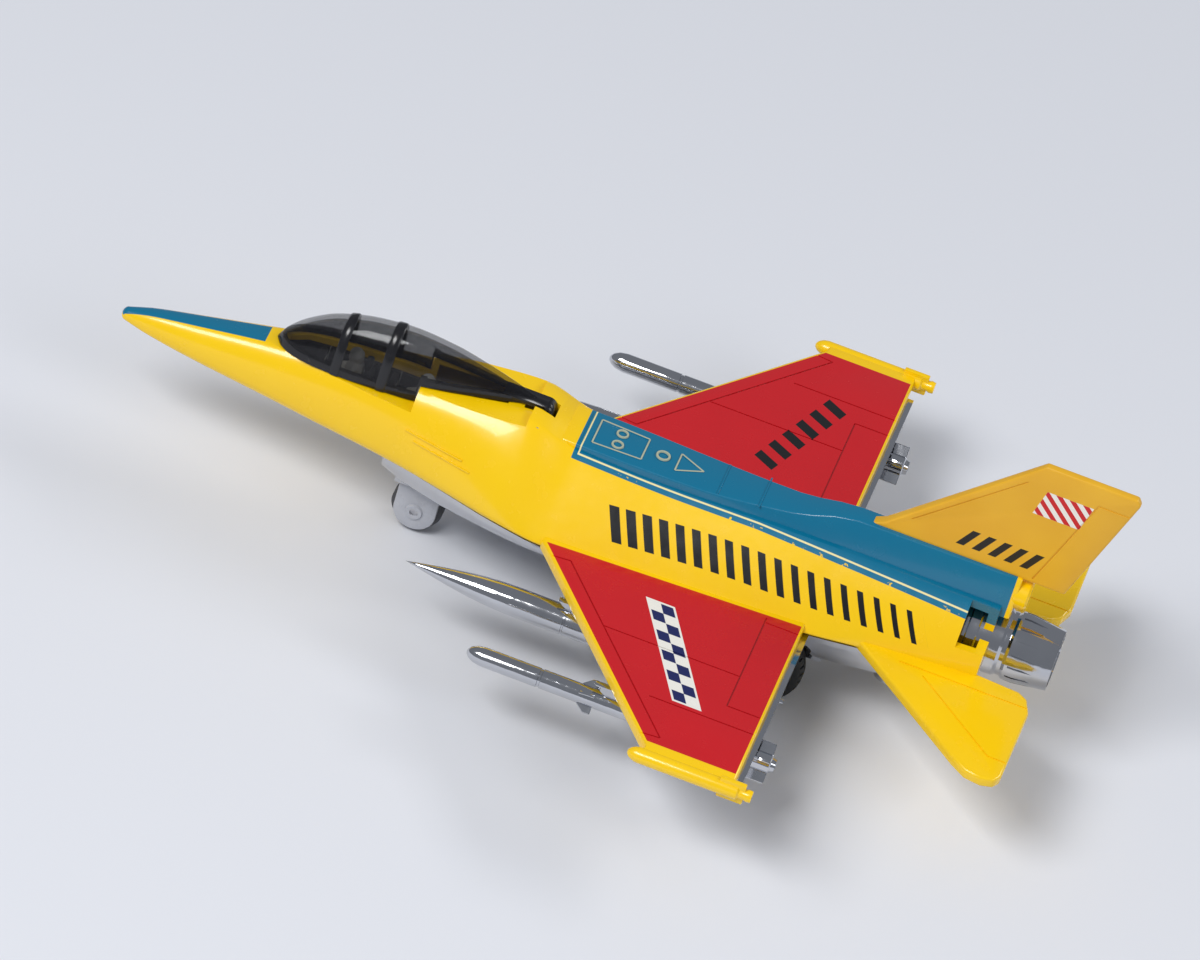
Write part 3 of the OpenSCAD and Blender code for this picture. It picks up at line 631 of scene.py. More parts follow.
spine = loft("body_spine", [spine_ring(s) for s in spread(85.5, 174, 4, [row[0] for row in SPINE])])
soften(spine, 0.35, 3, 35)
smooth(spine)
tail_stub = turned("body_tail_stub", [(0, 0), (0, 2.6), (0.4, 3), (2.8, 3), (3.2, 2.6), (3.2, 0)],
                   place(173, 0, 12), (-1, 0, 0))
smooth(tail_stub)
print("spine:", len(spine.data.polygons), "faces")

# %% [markdown]
# Wings and tailplanes are flat plates in plan. Their grooves could be painted with bump, but a groove
# that is cut keeps its own shadow from every side, so thin bars are laid on the panel lines and cut away.

# %% Wings and tailplanes
WING_T, TAIL_T = 2.6, 2.2
TIP_Y = wing_tip_y / MM - 1.5
WING_END, SCORE_END = 139.6, 139.8
WING = [(89, 13), (89, 19), (122, TIP_Y - 2), (122, TIP_Y), (WING_END, TIP_Y), (WING_END, 11)]
TAIL = [(145, 10), (150, 14.1), (174, 35.6), (177, 37.8), (180.3, 38.3), (182.6, 37.5), (183.4, 36),
        (183.6, 16.4), (182.4, 12.8), (180.5, 11.5), (172, 10.9), (170, 10)]
WING_TOP, TAIL_TOP = SPLIT + WING_T, SPLIT + TAIL_T


def wing_edge(y):
    """Station of the wing's leading edge at a distance from the middle."""
    return 89 + 33 * (y - 19) / (TIP_Y - 21)


def groove(name, start, end, top, width=0.28, depth=0.22):
    """A thin bar laid on a line in plan, half sunk in a top face."""
    (s0, y0), (s1, y1) = start, end
    length = math.hypot(s1 - s0, y1 - y0)
    across = ((y0 - y1) / length * width / 2, (s1 - s0) / length * width / 2)
    corners = [(s0 + across[0], y0 + across[1]), (s1 + across[0], y1 + across[1]),
               (s1 - across[0], y1 - across[1]), (s0 - across[0], y0 - across[1])]
    return plan_plate(name, corners, top - depth, top + 0.5)


def scored(piece, lines, top):
    """Cut grooves along lines in plan into a piece's top face."""
    bars = joined("bars", *[groove("bar", a, b, top) for a, b in lines])
    keep(piece, "BOOLEAN", object=bars, operation="DIFFERENCE", solver="EXACT", use_self=True)
    bpy.data.objects.remove(bars)
    return piece


FLAP_S, SLAT = 132.6, 4.2
wing_lines = [((wing_edge(22) + SLAT, 22), (wing_edge(60) + SLAT, 60)), ((FLAP_S, 17.6), (FLAP_S, 45)),
              ((FLAP_S, 45), (SCORE_END, 45)), ((FLAP_S, 19), (SCORE_END, 19)),
              ((wing_edge(22) + SLAT, 22), (wing_edge(22), 22.5)),
              ((wing_edge(60) + SLAT, 60), (wing_edge(60), 60.5)),
              ((wing_edge(36) + SLAT, 36), (FLAP_S, 36)), ((119, 50), (SCORE_END, 50))]
tail_lines = [((158, 15.4), (183.8, 15.4)), ((163, 17), (179.6, 32)), ((179.6, 32), (183.9, 32))]
wing = soften(plan_plate("body_wing_left", WING, SPLIT, WING_TOP), 0.55, 3)
scored(wing, wing_lines, WING_TOP)
tail = soften(plan_plate("body_tailplane_left", TAIL, SPLIT, TAIL_TOP), 0.5, 3)
scored(tail, tail_lines, TAIL_TOP)
print("wing %d faces, tailplane %d faces" % (len(wing.data.polygons), len(tail.data.polygons)))

# %% [markdown]
# A launch rail closes each wing tip: a round bar with a rounded nose, a knob at its tail and a pair of
# small fins. It is turned like a pin on a lathe, and the fins are blocks let into it.

# %% Wing-tip rails
RAIL_R, RAIL_L = 1.5, 24
RAIL_S, RAIL_H = 122 - 2.6, SPLIT + WING_T / 2
rail_start = place(RAIL_S, TIP_Y, RAIL_H)
rail = turned("body_rail_left",
              [(0, 0), (0.15, 0.5), (0.6, 0.95), (1.3, 1.3), (2.2, RAIL_R), (RAIL_L - 2.8, RAIL_R),
                                 (RAIL_L - 2.4, 1.1), (RAIL_L - 1.2, 1.05), (RAIL_L - 0.8, 1.2),
               (RAIL_L, 1.1),
                                 (RAIL_L, 0)], rail_start, (-1, 0, 0), 32)
rail_fin = station_block("rail_fin", (RAIL_S + 17.6, RAIL_S + 22.6), (TIP_Y - 0.5, TIP_Y + 0.5),
                         (RAIL_H - 2.2, RAIL_H + 2.2))
soften(rail_fin, 0.2)
rail = joined("body_rail_left", rail, rail_fin)

body_pieces = [fuselage, spine, tail_stub]
for piece in (wing, tail, rail):
    smooth(piece)
    body_pieces += [piece, smooth(mirrored(piece, piece.name.replace("left", "right")))]
print("the casting is", len(body_pieces), "meshes")

# %% [markdown]
# Small raised details sell the scale: the hatch rims and filler ring on the spine, the gun fairing
# strips under the cockpit, and the rib behind the canopy. Each is a thin bar or ring that stands a
# quarter of a millimetre proud, which is all that a die can hold at this size.

# %% Hatches and strips


def bar(name, start, end, width=0.35, height=0.3):
    """A slim raised bar between two points of the surface."""
    start, end = Vector(start), Vector(end)
    bpy.ops.mesh.primitive_cube_add(size=1)
    piece = added(name)
    length = (end - start).length
    frame_turn = (end - start).to_track_quat("X", "Z").to_matrix().to_4x4()
    edit(piece)
    bpy.ops.mesh.select_all(action="SELECT")
    bpy.ops.transform.resize(value=(length, width * MM, height * MM))
    bpy.ops.object.mode_set(mode="OBJECT")
    piece.data.transform(Matrix.Translation((start + end) / 2) @ frame_turn)
    piece.select_set(False)
    return soften(piece, 0.09)


def spine_top(station, y, lift=0.05):
    return place(station, y, fair(SPINE, 3, station) + lift)


hatch_corners = [(91, -3.6), (91, 3.6), (100.5, 3.2), (100.5, -3.2)]
hatch = [bar("hatch", spine_top(*a), spine_top(*b)) for a,
         b in zip(hatch_corners, hatch_corners[1:] + hatch_corners[:1])]
hatch += [bar("rib", spine_top(s, -4.6), spine_top(s, 4.6)) for s in (89.2, 116, 124)]
hatch += [bar("arrow", spine_top(*a), spine_top(*b)) for a,
          b in (((107, 2.6), (112, 0)), ((112, 0), (107, -2.6)),
                                                                 ((107, -2.6), (107, 2.6)))]
for y in (-1.7, 1.7):
    hatch.append(turned("filler", [(0, 0.75), (0.3, 0.85), (0.3, 1.15), (0, 1.25), (0, 0.75)],
                        spine_top(95.5, y), (0, 0, 1), 24))
hatch.append(turned("filler", [(0, 0.9), (0.35, 1), (0.35, 1.35), (0, 1.45), (0, 0.9)], spine_top(104, 0),
                    (0, 0, 1), 28))


def skin_point(station, height, lift=0.0):
    """The point of the port side of the fuselage at a station and a height."""
    ring = [p for p in body_ring(station) if p.y > 0]
    target = axis_z + height * MM
    pairs = [(a, b) for a, b in zip(ring, ring[1:]) if min(a.z, b.z) <= target <= max(a.z, b.z)]
    a, b = max(pairs, key=lambda pair: pair[0].y + pair[1].y)
    t = (target - a.z) / (b.z - a.z) if b.z != a.z else 0
    point = a.lerp(b, t)
    return point + Vector((0, lift * MM, lift * MM))


for side in SIDES.values():
    for low, high, s0, s1 in ((5.6, 5.4, 58, 70), (4.3, 4.1, 60, 72)):
        middle = (s0 + s1) / 2, (low + high) / 2
        ends = [skin_point(s0, low, 0.07), skin_point(*middle, 0.07), skin_point(s1, high, 0.07)]
        ends = [Vector((p.x, p.y * side, p.z)) for p in ends]
        hatch += [bar("strip", a, b, 0.45, 0.35) for a, b in zip(ends, ends[1:])]
details = smooth(joined("body_details", *hatch))
body_pieces.append(details)
print("details:", len(details.data.polygons), "faces")

# %% [markdown]
# ## The fin
# The fin is a separate plastic moulding that plugs into the spine. It is swept, tapers slightly towards
# its tip, and has cut lines for the rudder and a short lead-in at its root. A plate with its tip squeezed
# gives the taper.

# %% Fin
fin_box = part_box("tail_fin")
FIN_TOP = (fin_box[1].z - axis_z) / MM
FIN_END = (nose_tip_x - fin_box[0].x) / MM
SPINE_TOP = 16.4
FIN_LINES = [((175.4, 17.2), (182.6, 38.2)), ((182.6, 38.2), (189, 38.2)), ((151, 20.4), (169, 37.8))]
fin_outline = [(144, SPINE_TOP - 0.3), (146.5, SPINE_TOP + 0.9), (171.5, FIN_TOP), (FIN_END - 0.8, FIN_TOP),
               (FIN_END, FIN_TOP - 1.2), (182, SPINE_TOP - 0.3)]
fin = side_plate("fin", fin_outline, 1.2)
edit(fin)
pick(fin, lambda vert: vert.co.z > fin_box[1].z - 2 * MM)
bpy.ops.transform.resize(value=(1, 0.72, 1), center_override=(0, 0, 0))
done(fin)
soften(fin, 0.4, 3)
for side in SIDES.values():
    for (s0, z0), (s1, z1) in FIN_LINES:
        if z0 == z1:
            tool = station_block("line", (s0, s1), (side * 0.8, side * 3), (z0 - 0.15, z0 + 0.15))
        else:
            tool = plate("line", [place(s0, side * 1.0, z0), place(s0 + 0.3, side * 1.0, z0),
                                  place(s1 + 0.3, side * 0.8, z1 + 0.02), place(s1, side * 0.8, z1)],
                         (0, side * 2 * MM, 0))
        cut(fin, tool)
smooth(fin)
print("fin:", len(fin.data.polygons), "faces")

# %% [markdown]
# ## The plated hull
# The lower hull is a second moulding, plated like chrome. It carries the intake under the nose, the wheel
# arches, a window for the motor, the screw posts and thin plates that back the wings. Skin, flange and
# posts are joined as solids first, and then the cores come out.

# %% Hull
HULL = [(55, 6.7, -9.1), (60, 8.2, -10.6), (71, 10.4, -12), (89, 12.3, -12.8), (139, 12.3, -12.8),
        (158, 10.5, -11.7), (170, 9.1, -10)]
PLATE_Z = SPLIT - 1.1
HULL_WALL = 1.4
WHEEL_S, WHEEL_H = 133, -14.2
NOSE_S, NOSE_H = 63, -18
SCREWS = [(92.5, 0), (156.5, 6), (156.5, -6)]


def hull_ring(station, inset=0.0, top=PLATE_Z):
    width, low = fair(HULL, 1, station) - inset, fair(HULL, 2, station) + inset
    return closed_ring([(width, top)], top, width, low, 3.4, station)


def merged(piece, *tools):
    """Join solids into one."""
    for tool in tools:
        keep(piece, "BOOLEAN", object=tool, operation="UNION", solver="EXACT")
        bpy.data.objects.remove(tool)
    return piece


def upright(name, station, y, r, low, high, steps=32):
    """A cylinder that stands upright."""
    return turned(name, [(0, 0), (0, r), (high - low, r), (high - low, 0)], place(station, y, low),
                  (0, 0, 1), steps)


hull = loft("hull", [hull_ring(s, 0, PLATE_Z + 0.01) for s in spread(55, 170, 2.4, [r[0] for r in HULL])])
flange_s = spread(56, 170, 5, [68, 79, 89, WING_END])
flange_edge = [(s, fair(BODY, 1, s) - 0.8) for s in flange_s]
flange = plan_plate("flange", flange_edge + [(s, -y) for s, y in reversed(flange_edge)], PLATE_Z, SPLIT)
UNDER_WING = [(93, 11), (95.5, 19), (123, TIP_Y - 4), (140.7, TIP_Y - 4), (140.7, 11)]
backs = [plan_plate("wing_back", [(s, y * side) for s, y in UNDER_WING], PLATE_Z, SPLIT)
         for side in (1, -1)]
merged(hull, flange, *backs)
duct = loft("duct_core", [hull_ring(s, HULL_WALL) for s in spread(54.5, 69, 2)])
inside = loft("hull_core", [hull_ring(s, HULL_WALL, SPLIT + 1) for s in spread(70.5, 168.2, 4)])
arches = [cross_pin("arch_core", WHEEL_S, WHEEL_H, 9.8, *sorted((side * 9.4, side * 22)), 64)
          for side in (1, -1)]
cut(hull, duct, inside, *arches)
walls = [station_block("arch_wall", (WHEEL_S - 10.8, WHEEL_S + 10.8), (side * 8.2, side * 9.4),
                       (-12.4, -2.9))
         for side in (1, -1)]
posts = [upright("post", s, y, 3.2, -11.9, SPLIT - 0.02) for s, y in SCREWS]
pad = station_block("gear_pad", (58, 68), (-4.6, 4.6), (-11.4, -9.4))
merged(hull, *walls, *posts, pad)
window = station_block("window_core", (WHEEL_S - 27.4, WHEEL_S + 6.4), (-7.6, 7.6), (-30, -10.5))
step_hole = [(0, 0), (0, 2.15), (23.6, 2.15), (23.6, 1.15), (31, 1.15), (31, 0)]
holes = [turned("hole", step_hole, place(s, y, -30), (0, 0, 1), 32) for s, y in SCREWS]
seat = station_block("fork_core", (58, 68), (-4.6, 4.6), (-20, -11.4))
outlet = turned("outlet_core", [(0, 0), (0, 6.85), (10, 6.85), (10, 0)], place(167.2, 0, 0), (-1, 0, 0), 64)
cut(hull, window, *holes, seat, outlet)
smooth(hull, 26)
print("hull:", len(hull.data.polygons), "faces")

# %% [markdown]
# The exhaust is turned, with a flange that the hull traps, a waist, and petals parted by slots. A lathe
# profile spun about its axis gives the body, and a ring of thin bars cuts the slots.

# %% Exhaust nozzle
NOZZLE = [(0, 5), (0, 7.7), (2.4, 7.7), (2.4, 6.7), (4.2, 6.7), (4.5, 6.95), (6.2, 6.95), (6.5, 6.7),
          (11, 6.7), (11.6, 6.25), (12.4, 6.25), (13, 6.7), (15, 6.75), (21.5, 5.9), (21.5, 5.25),
          (13, 5.05), (0, 5)]
PETALS = 16
nozzle = turned("exhaust", NOZZLE, place(163, 0, 0), (-1, 0, 0), 96)
slots = []
for k in range(PETALS):
    turn = 2 * math.pi * k / PETALS
    slot_bar = station_block("petal_slot", (176.6, 190), (-0.22, 0.22), (6.3, 9))
    slots.append(swung(slot_bar, Vector((0, 0, axis_z)), turn, "X"))
cut(nozzle, joined("petal_slots", *slots))
smooth(nozzle, 28)
print("nozzle:", len(nozzle.data.polygons), "faces")

# %% [markdown]
# ## Canopy and crew
# The canopy is a thin bubble of smoke-coloured plastic with two raised hoops. Its shell is the outer
# loft less an inner one. The stepped sill trims both at once, so it seats on the casting with an even gap.

# %% Canopy
CANOPY = [(29.2, 0.9, 7.9), (30.5, 2.9, 10), (33.7, 4.7, 13.2), (39, 5.8, 16.6), (46.5, 6.2, 19),
          (54, 6.1, 19.9), (61, 5.4, 19.5), (68, 4.1, 18.3), (74.5, 2.6, 16.7), (78.4, 1.3, 15.4)]
CANOPY_BASE, CANOPY_END = 5.5, 78.89
GAP = 0.3


def canopy_ring(station, inset=0.0):
    width, top = fair(CANOPY, 1, station) - inset, fair(CANOPY, 2, station) - inset
    over = [bow(width, top - CANOPY_BASE, i, 2.2) for i in range(QUARTER + 1)]
    over = [(max(y, 0.02), CANOPY_BASE + z) for y, z in over]
    return closed_ring(over, CANOPY_BASE, width, CANOPY_BASE - 0.5, 6, station)


def under_sill():
    """Everything that the canopy must not reach into."""
    step = SILL_LOW[1][0] - GAP
    line = [(20, 7.05 + GAP), (28, 7.4 + GAP), (step, 8.7 + GAP), (step, 12.1 + GAP),
            (CANOPY_END, 13.9 + GAP), (CANOPY_END, -5), (20, -5)]
    return side_plate("sill_tool", line, 20)


canopy = loft("canopy_bubble", [canopy_ring(s) for s in spread(29.2, 78.4, 1.0, [29.7, 30.1, 30.5])])
hollow = loft("canopy_core", [canopy_ring(s, 1) for s in spread(30.3, 76, 1.2)])
cut(canopy, hollow, under_sill())
smooth(canopy, 40)


def hoop(name, first, last, proud=0.22, sunk=1.15):
    """A band that follows the bubble between two stations."""
    rings = [canopy_ring(first, -proud * 0.2), canopy_ring(first + 0.25, -proud),
             canopy_ring(last - 0.25, -proud),
             canopy_ring(last, -proud * 0.2), canopy_ring(last, sunk), canopy_ring(first, sunk)]
    return loft(name, rings + rings[:1], (False, False))


hoops = [cut(hoop("hoop", s - w / 2, s + w / 2), under_sill()) for s, w in ((41.8, 1.7), (50.8, 1.9))]
canopy_frame = smooth(joined("canopy_hoops", *hoops), 40)
lug = cross_pin("canopy_arm", *HINGE, 1.6, -1.7, 1.7)
arm = station_block("canopy_arm", (72.5, HINGE[0]), (-1.7, 1.7), (HINGE[1] + 0.75, HINGE[1] + 1.6))
merged(lug, arm)
trim = station_block("arm_trim", (60, 78.88), (-5, 5), (5, 14.18))
cut(lug, trim, cross_pin("pin_bore", *HINGE, 0.66, -4, 4))
canopy_arm = smooth(soften(lug, 0.12))
print("canopy:", len(canopy.data.polygons), "faces")

# %% [markdown]
# The crew sit in a moulded tub with two seats, consoles and instrument panels. The figures are generic
# moulded crew: helmet, visor, torso, arms on their knees. Rounded blobs are put together and remeshed
# into one skin, the way soft-edged miniatures are sculpted before the mould is cut.

# %% Tub


def inside_well(by):
    """The port half of the well's outline, drawn in by a distance all round."""
    ends = {0: by, len(WELL) - 1: -by}
    return [(s + ends.get(i, 0), y - by) for i, (s, y) in enumerate(WELL)]


def both(outline):
    return outline + [(s, -y) for s, y in reversed(outline)]


tub = plan_plate("cockpit_tray", both(inside_well(0.15)), -0.4, 6.6)
cut(tub, plan_plate("tray_core", both(inside_well(0.9)), 0.6, 8))
fittings = []
for s in (44, 58):
    fittings += [soften(station_block("seat", (s - 2.4, s + 2.7), (-2.4, 2.4), (0.5, 3)), 0.3),
                 soften(station_block("seat_back", (s + 2.7, s + 4), (-2.2, 2.2), (0.5, 8)), 0.35),
                 soften(station_block("headrest", (s + 2.3, s + 3.6), (-1.3, 1.3), (8.1, 10)), 0.35),
                 soften(station_block("panel", (s - 6.6, s - 5.4), (-2.6, 2.6), (0.5, 7.1)), 0.25)]
    for y, z, r in ((-1.3, 5.9, 0.55), (0, 6, 0.65), (1.3, 5.9, 0.55), (-0.7, 4.5, 0.45), (0.7, 4.5, 0.45)):
        fittings.append(turned("dial", [(0.05, 0), (0.05, r * 0.75), (0.2, r * 0.8), (0.2, r), (-0.2, r),
                                        (-0.2, 0)],
                               place(s - 5.4, y, z), (-1, 0, 0), 16))
    for y in (-1, 1):
        fittings.append(soften(station_block("console", (s - 5, s + 2), (y * 2.7, y * 3.5), (0.5, 4.4)),
                               0.2))
tub = joined("cockpit_tray", tub, *fittings)
smooth(soften(tub, 0.12, 1, 60))
print("tub:", len(tub.data.polygons), "faces")

# %% Crew


def blob(start, end, r0, r1):
    """A round-ended limb between two points, thicker at one end."""
    start, end = Vector(start), Vector(end)
    length = (end - start).length / MM
    round_ends = [(-r0, 0), (-r0 * 0.7, r0 * 0.7), (0, r0), (length, r1), (length + r1 * 0.7, r1 * 0.7),
                  (length + r1, 0)]
    return turned("blob", round_ends, start, end - start, 20)


def crew(name, station):
    """One seated figure, from hips to helmet, in front of its seat back."""
    def at(ahead, y, up):
        return place(station - ahead, y, 3 + up)
    parts = [blob(at(-0.4, 0, 1.3), at(-0.7, 0, 4.2), 1.75, 1.9),
             blob(at(-0.6, 0, 5), at(-0.5, 0, 6), 0.8, 0.8),
             blob(at(-0.45, 0, 6.65), at(-0.3, 0, 6.95), 1.45, 1.5)]
    for y in (-1, 1):
        parts += [blob(at(0, y * 1.0, 0.9), at(3.3, y * 1.15, 1.6), 0.85, 0.75),
                  blob(at(3.3, y * 1.15, 1.6), at(4.3, y * 1.2, -0.6), 0.7, 0.6),
                  blob(at(-0.6, y * 1.75, 4.5), at(0.5, y * 2.2, 2.6), 0.7, 0.6),
                  blob(at(0.5, y * 2.2, 2.6), at(2.9, y * 1.1, 2.5), 0.58, 0.5)]
    figure = joined(name, *parts)
    keep(figure, "REMESH", mode="VOXEL", voxel_size=0.2 * MM)
    keep(figure, "SMOOTH", factor=0.5, iterations=3)
    visor = turned("visor", [(-1.45, 0), (-1.2, 0.9), (-0.2, 1.62), (0.35, 1.66), (0.35, 1.3), (0, 0)],
                   at(-0.05, 0, 6.75), (-1, 0, 0.12), 24)
    visor.data.transform(Matrix.Translation(at(0.35, 0, 6.6)) @ Matrix.Diagonal((0.55, 0.92, 0.7, 1))
                         @ Matrix.Translation(-at(0, 0, 6.75)))
    figure = joined(name, figure, visor)
    return smooth(figure, 60)


front_crew, rear_crew = crew("crew_front", 44), crew("crew_rear", 58)
print("crew:", len(front_crew.data.polygons), "faces each")

# %% [markdown]
# ## Stores
# Two drop tanks and two missiles hang on pylons. Each body is turned from a profile with a fair nose and
# tail. The pylons are tapered plates, and fins are thin plates let into the body.

# %% Stores
TANK_S, TANK_Y, TANK_H, TANK_R, TANK_L = 67, 28.7, -8.3, 2.8, 74
SHOT_S, SHOT_Y, SHOT_H, SHOT_R, SHOT_L = 84.5, 47.3, -7.6, 1.85, 60


def tank(name, side):
    nose = [(TANK_L * 0.3 * t / 10, TANK_R * math.sin(math.pi / 2 * t / 10)) for t in range(11)]
    tail_end = [(TANK_L * (0.7 + 0.3 * t / 8), TANK_R * (1 - 0.85 * (t / 8) ** 2)) for t in range(1, 9)]
    seams = [(TANK_L * share + far, TANK_R - deep) for share in (0.42, 0.6)
             for far, deep in ((0, 0), (0.1, 0.14), (0.35, 0.14), (0.45, 0))]
    profile = nose + seams + [(TANK_L * 0.7, TANK_R)] + tail_end + [(TANK_L, 0)]
    body = turned(name, profile, place(TANK_S, side * TANK_Y, TANK_H), (-1, 0, 0), 48)
    pylon_outline = [(96, PLATE_Z), (99.5, TANK_H + 1.6), (127, TANK_H + 1.6), (129, PLATE_Z)]
    pylon = side_plate("pylon", pylon_outline, 0.8, side * TANK_Y)
    return smooth(joined(name, body, soften(pylon, 0.25)))


def missile(name, side):
    profile = [(0, 0), (0.15, 0.5), (0.7, 1.1), (1.7, 1.6), (3.2, SHOT_R), (14, SHOT_R),
               (14.1, SHOT_R - 0.15), (14.5, SHOT_R - 0.15), (14.6, SHOT_R), (SHOT_L - 1, SHOT_R),
               (SHOT_L - 0.8, 1.5), (SHOT_L, 1.25), (SHOT_L, 0.7), (SHOT_L - 1.2, 0.6), (SHOT_L - 1.2, 0)]
    pylon_outline = [(108.5, PLATE_Z), (112, SHOT_H + 1), (134, SHOT_H + 1), (135, PLATE_Z)]
    y = side * SHOT_Y
    parts = [turned(name, profile, place(SHOT_S, y, SHOT_H), (-1, 0, 0), 40),
             soften(side_plate("pylon", pylon_outline, 0.7, y), 0.2)]
    for turn in (45, 135, 225, 315):
        for outline in (((52.2, 1.2), (54.8, 3.8), (59, 3.8), (59, 1.2)),
                        ((21, 1.2), (23.6, 3.2), (25, 3.2), (25, 1.2))):
            fin_plate = plate("shot_fin", [place(SHOT_S + s, -0.3, r) for s, r in outline],
                              (0, 0.6 * MM, 0))
            soften(fin_plate, 0.12, 1)
            fin_plate.data.transform(Matrix.Translation((0, y * MM, axis_z + SHOT_H * MM))
                                     @ Matrix.Rotation(math.radians(turn), 4, "X")
                                     @ Matrix.Translation((0, 0, -axis_z)))
            parts.append(fin_plate)
    return smooth(joined(name, *parts))


tanks = {word: tank("drop_tank_" + word, side) for word, side in SIDES.items()}
shots = {word: missile("missile_" + word, side) for word, side in SIDES.items()}
print("stores:", len(tanks["left"].data.polygons), "and", len(shots["left"].data.polygons), "faces")

# %% [markdown]
# ## Wheels and screws
# The rear tyres are rubber with cut tread, on plated hubs with round lightening holes. The nose wheel is
# one moulding between two cheeks. All of them are turned about their axles, so they still look right
# while they roll.

# %% Wheels
WHEEL_Y, WHEEL_W, WHEEL_R, HUB_R = 9.8, 4.6, 8.8, 6.0
TREADS = 32


def wheel_place(y):
    return place(WHEEL_S, y, WHEEL_H)


def tyre(name, side):
    w = WHEEL_W
    profile = [(0, HUB_R), (0, 7.4), (0.25, 8.1), (0.7, 8.55), (1.5, WHEEL_R), (2.05, WHEEL_R),
               (2.15, 8.45), (2.45, 8.45), (2.55, WHEEL_R), (w - 1.5, WHEEL_R), (w - 0.7, 8.55),
               (w - 0.25, 8.1), (w, 7.4), (w, 6.9), (w - 0.2, 6.6), (w, 6.3), (w, HUB_R), (0, HUB_R)]
    rubber = turned(name, profile, wheel_place(side * WHEEL_Y), (0, side, 0), 96)
    bars = []
    for k in range(TREADS):
        for y0, y1 in ((0, 1.5), (w - 1.5, w)):
            tread = station_block("tread", (WHEEL_S - 0.22, WHEEL_S + 0.22),
                                  (side * (WHEEL_Y + y0 - 0.2), side * (WHEEL_Y + y1 + 0.2)),
                                  (WHEEL_H + 8.35, WHEEL_H + 9.6))
            turn = 2 * math.pi * (k + (0.5 if y0 else 0)) / TREADS
            bars.append(swung(tread, wheel_place(0), turn, "Y"))
    cut(rubber, joined("treads", *bars))
    return smooth(rubber, 32)


def hub(name, side):
    w = WHEEL_W
    profile = [(0.2, 0), (0, 0.8), (0, HUB_R), (w, HUB_R), (w, HUB_R - 0.7), (w - 0.3, HUB_R - 0.9),
               (w - 1.1, HUB_R - 1.1), (w - 1.3, 2.6), (w - 0.9, 2.2), (w - 0.4, 1.9), (w - 0.2, 1.4),
               (w - 0.1, 0)]
    rim = turned(name, profile, wheel_place(side * WHEEL_Y), (0, side, 0), 64)
    for k in range(6):
        turn = 2 * math.pi * k / 6
        spot = place(WHEEL_S + 3.75 * math.cos(turn), side * (WHEEL_Y + w - 2.1),
                     WHEEL_H + 3.75 * math.sin(turn))
        cut(rim, turned("hub_hole", [(0, 0), (0, 0.75), (4, 0.75), (4, 0)], spot, (0, side, 0), 20))
    return smooth(rim, 30)


tyres = {word: tyre("tyre_" + word, side) for word, side in SIDES.items()}
hubs = {word: hub("hub_" + word, side) for word, side in SIDES.items()}
nose_profile = [(0, 0.85), (0, 2.2), (0.25, 2.4), (0.25, 3.5), (0, 3.7), (0, 4.3), (0.2, 4.7), (0.6, 5),
                (1.3, 5), (1.4, 4.85), (1.8, 4.85), (1.9, 5), (2.6, 5), (3.0, 4.7), (3.2, 4.3), (3.2, 3.7),
                (2.95, 3.5), (2.95, 2.4), (3.2, 2.2), (3.2, 0.85), (0, 0.85)]
nose_wheel = smooth(turned("nose_roller", nose_profile, place(NOSE_S, -1.6, NOSE_H), (0, 1, 0), 64), 32)

# %% Nose gear
CHEEK_R = 4.1
arc = [(NOSE_S + CHEEK_R * math.cos(math.radians(a)), NOSE_H + CHEEK_R * math.sin(math.radians(a)))
       for a in range(180, 361, 10)]
cheek_outline = arc + [(NOSE_S + CHEEK_R, -12), (NOSE_S - CHEEK_R, -12)]
fork_parts = []
for side in (1, -1):
    cheek = side_plate("cheek", cheek_outline, 0.6, side * 2.5)
    fork_parts.append(soften(cut(cheek, cross_pin("axle_bore", NOSE_S, NOSE_H, 0.8, -6, 6)), 0.2))
    fork_parts.append(turned("boss", [(0, 0.82), (0, 1.7), (0.35, 1.5), (0.35, 0.82), (0, 0.82)],
                             place(NOSE_S, side * 3.1, NOSE_H), (0, side, 0), 28))
fork_parts.append(soften(station_block("bridge", (NOSE_S - 4.7, NOSE_S + 4.7), (-3.1, 3.1), (-12.6, -11.4)),
                         0.2))
fork_parts.append(soften(upright("peg", NOSE_S, 0, 2, -11.9, -9.7), 0.2))
fork = smooth(joined("nose_fork", *fork_parts))

# %% Screws


def pan_screw(station, y, low, length, r=2.0):
    """A pan-head screw with a cross recess, its head down."""
    head = turned("screw", [(0.25, 0), (0.12, 0.7 * r), (0.45, 0.95 * r), (0.8, r), (1.4, r), (1.4, 1),
                            (length - 0.8, 1), (length, 0.2), (length, 0)],
                  place(station, y, low), (0, 0, 1), 32)
    cross = [station_block("recess", (station - 0.26, station + 0.26), (y - 1.1, y + 1.1),
                           (low - 1, low + 0.85)),
             station_block("recess", (station - 1.1, station + 1.1), (y - 0.26, y + 0.26),
                           (low - 1, low + 0.85))]
    return cut(head, *cross)


screws = smooth(joined("belly_screws", *[pan_screw(s, y, -7.8, 11.4) for s, y in SCREWS]))
print("wheels, fork and screws are modelled")

# %% [markdown]
# ## Finishes
# Every pattern is placed in millimetres from the nose tip, the middle plane and the exhaust axis, so a
# stripe is written down just as it is measured on the toy. An edge is blurred over a twentieth of a
# millimetre, the softness of pad-printed paint.

# %% Reading the toy in millimetres


def in_millimetres(finish):
    """Station, distance to port and height of the surface, as values in millimetres."""
    return (nose_tip_x - finish.x) * 1000, finish.y * 1000, (finish.z - axis_z) * 1000


def gloss(finish, low, high, size=0.004):
    """Let the roughness wander between two values, as handling leaves it."""
    return finish.set(Roughness=finish.grain(size, 4) * (high - low) + low)
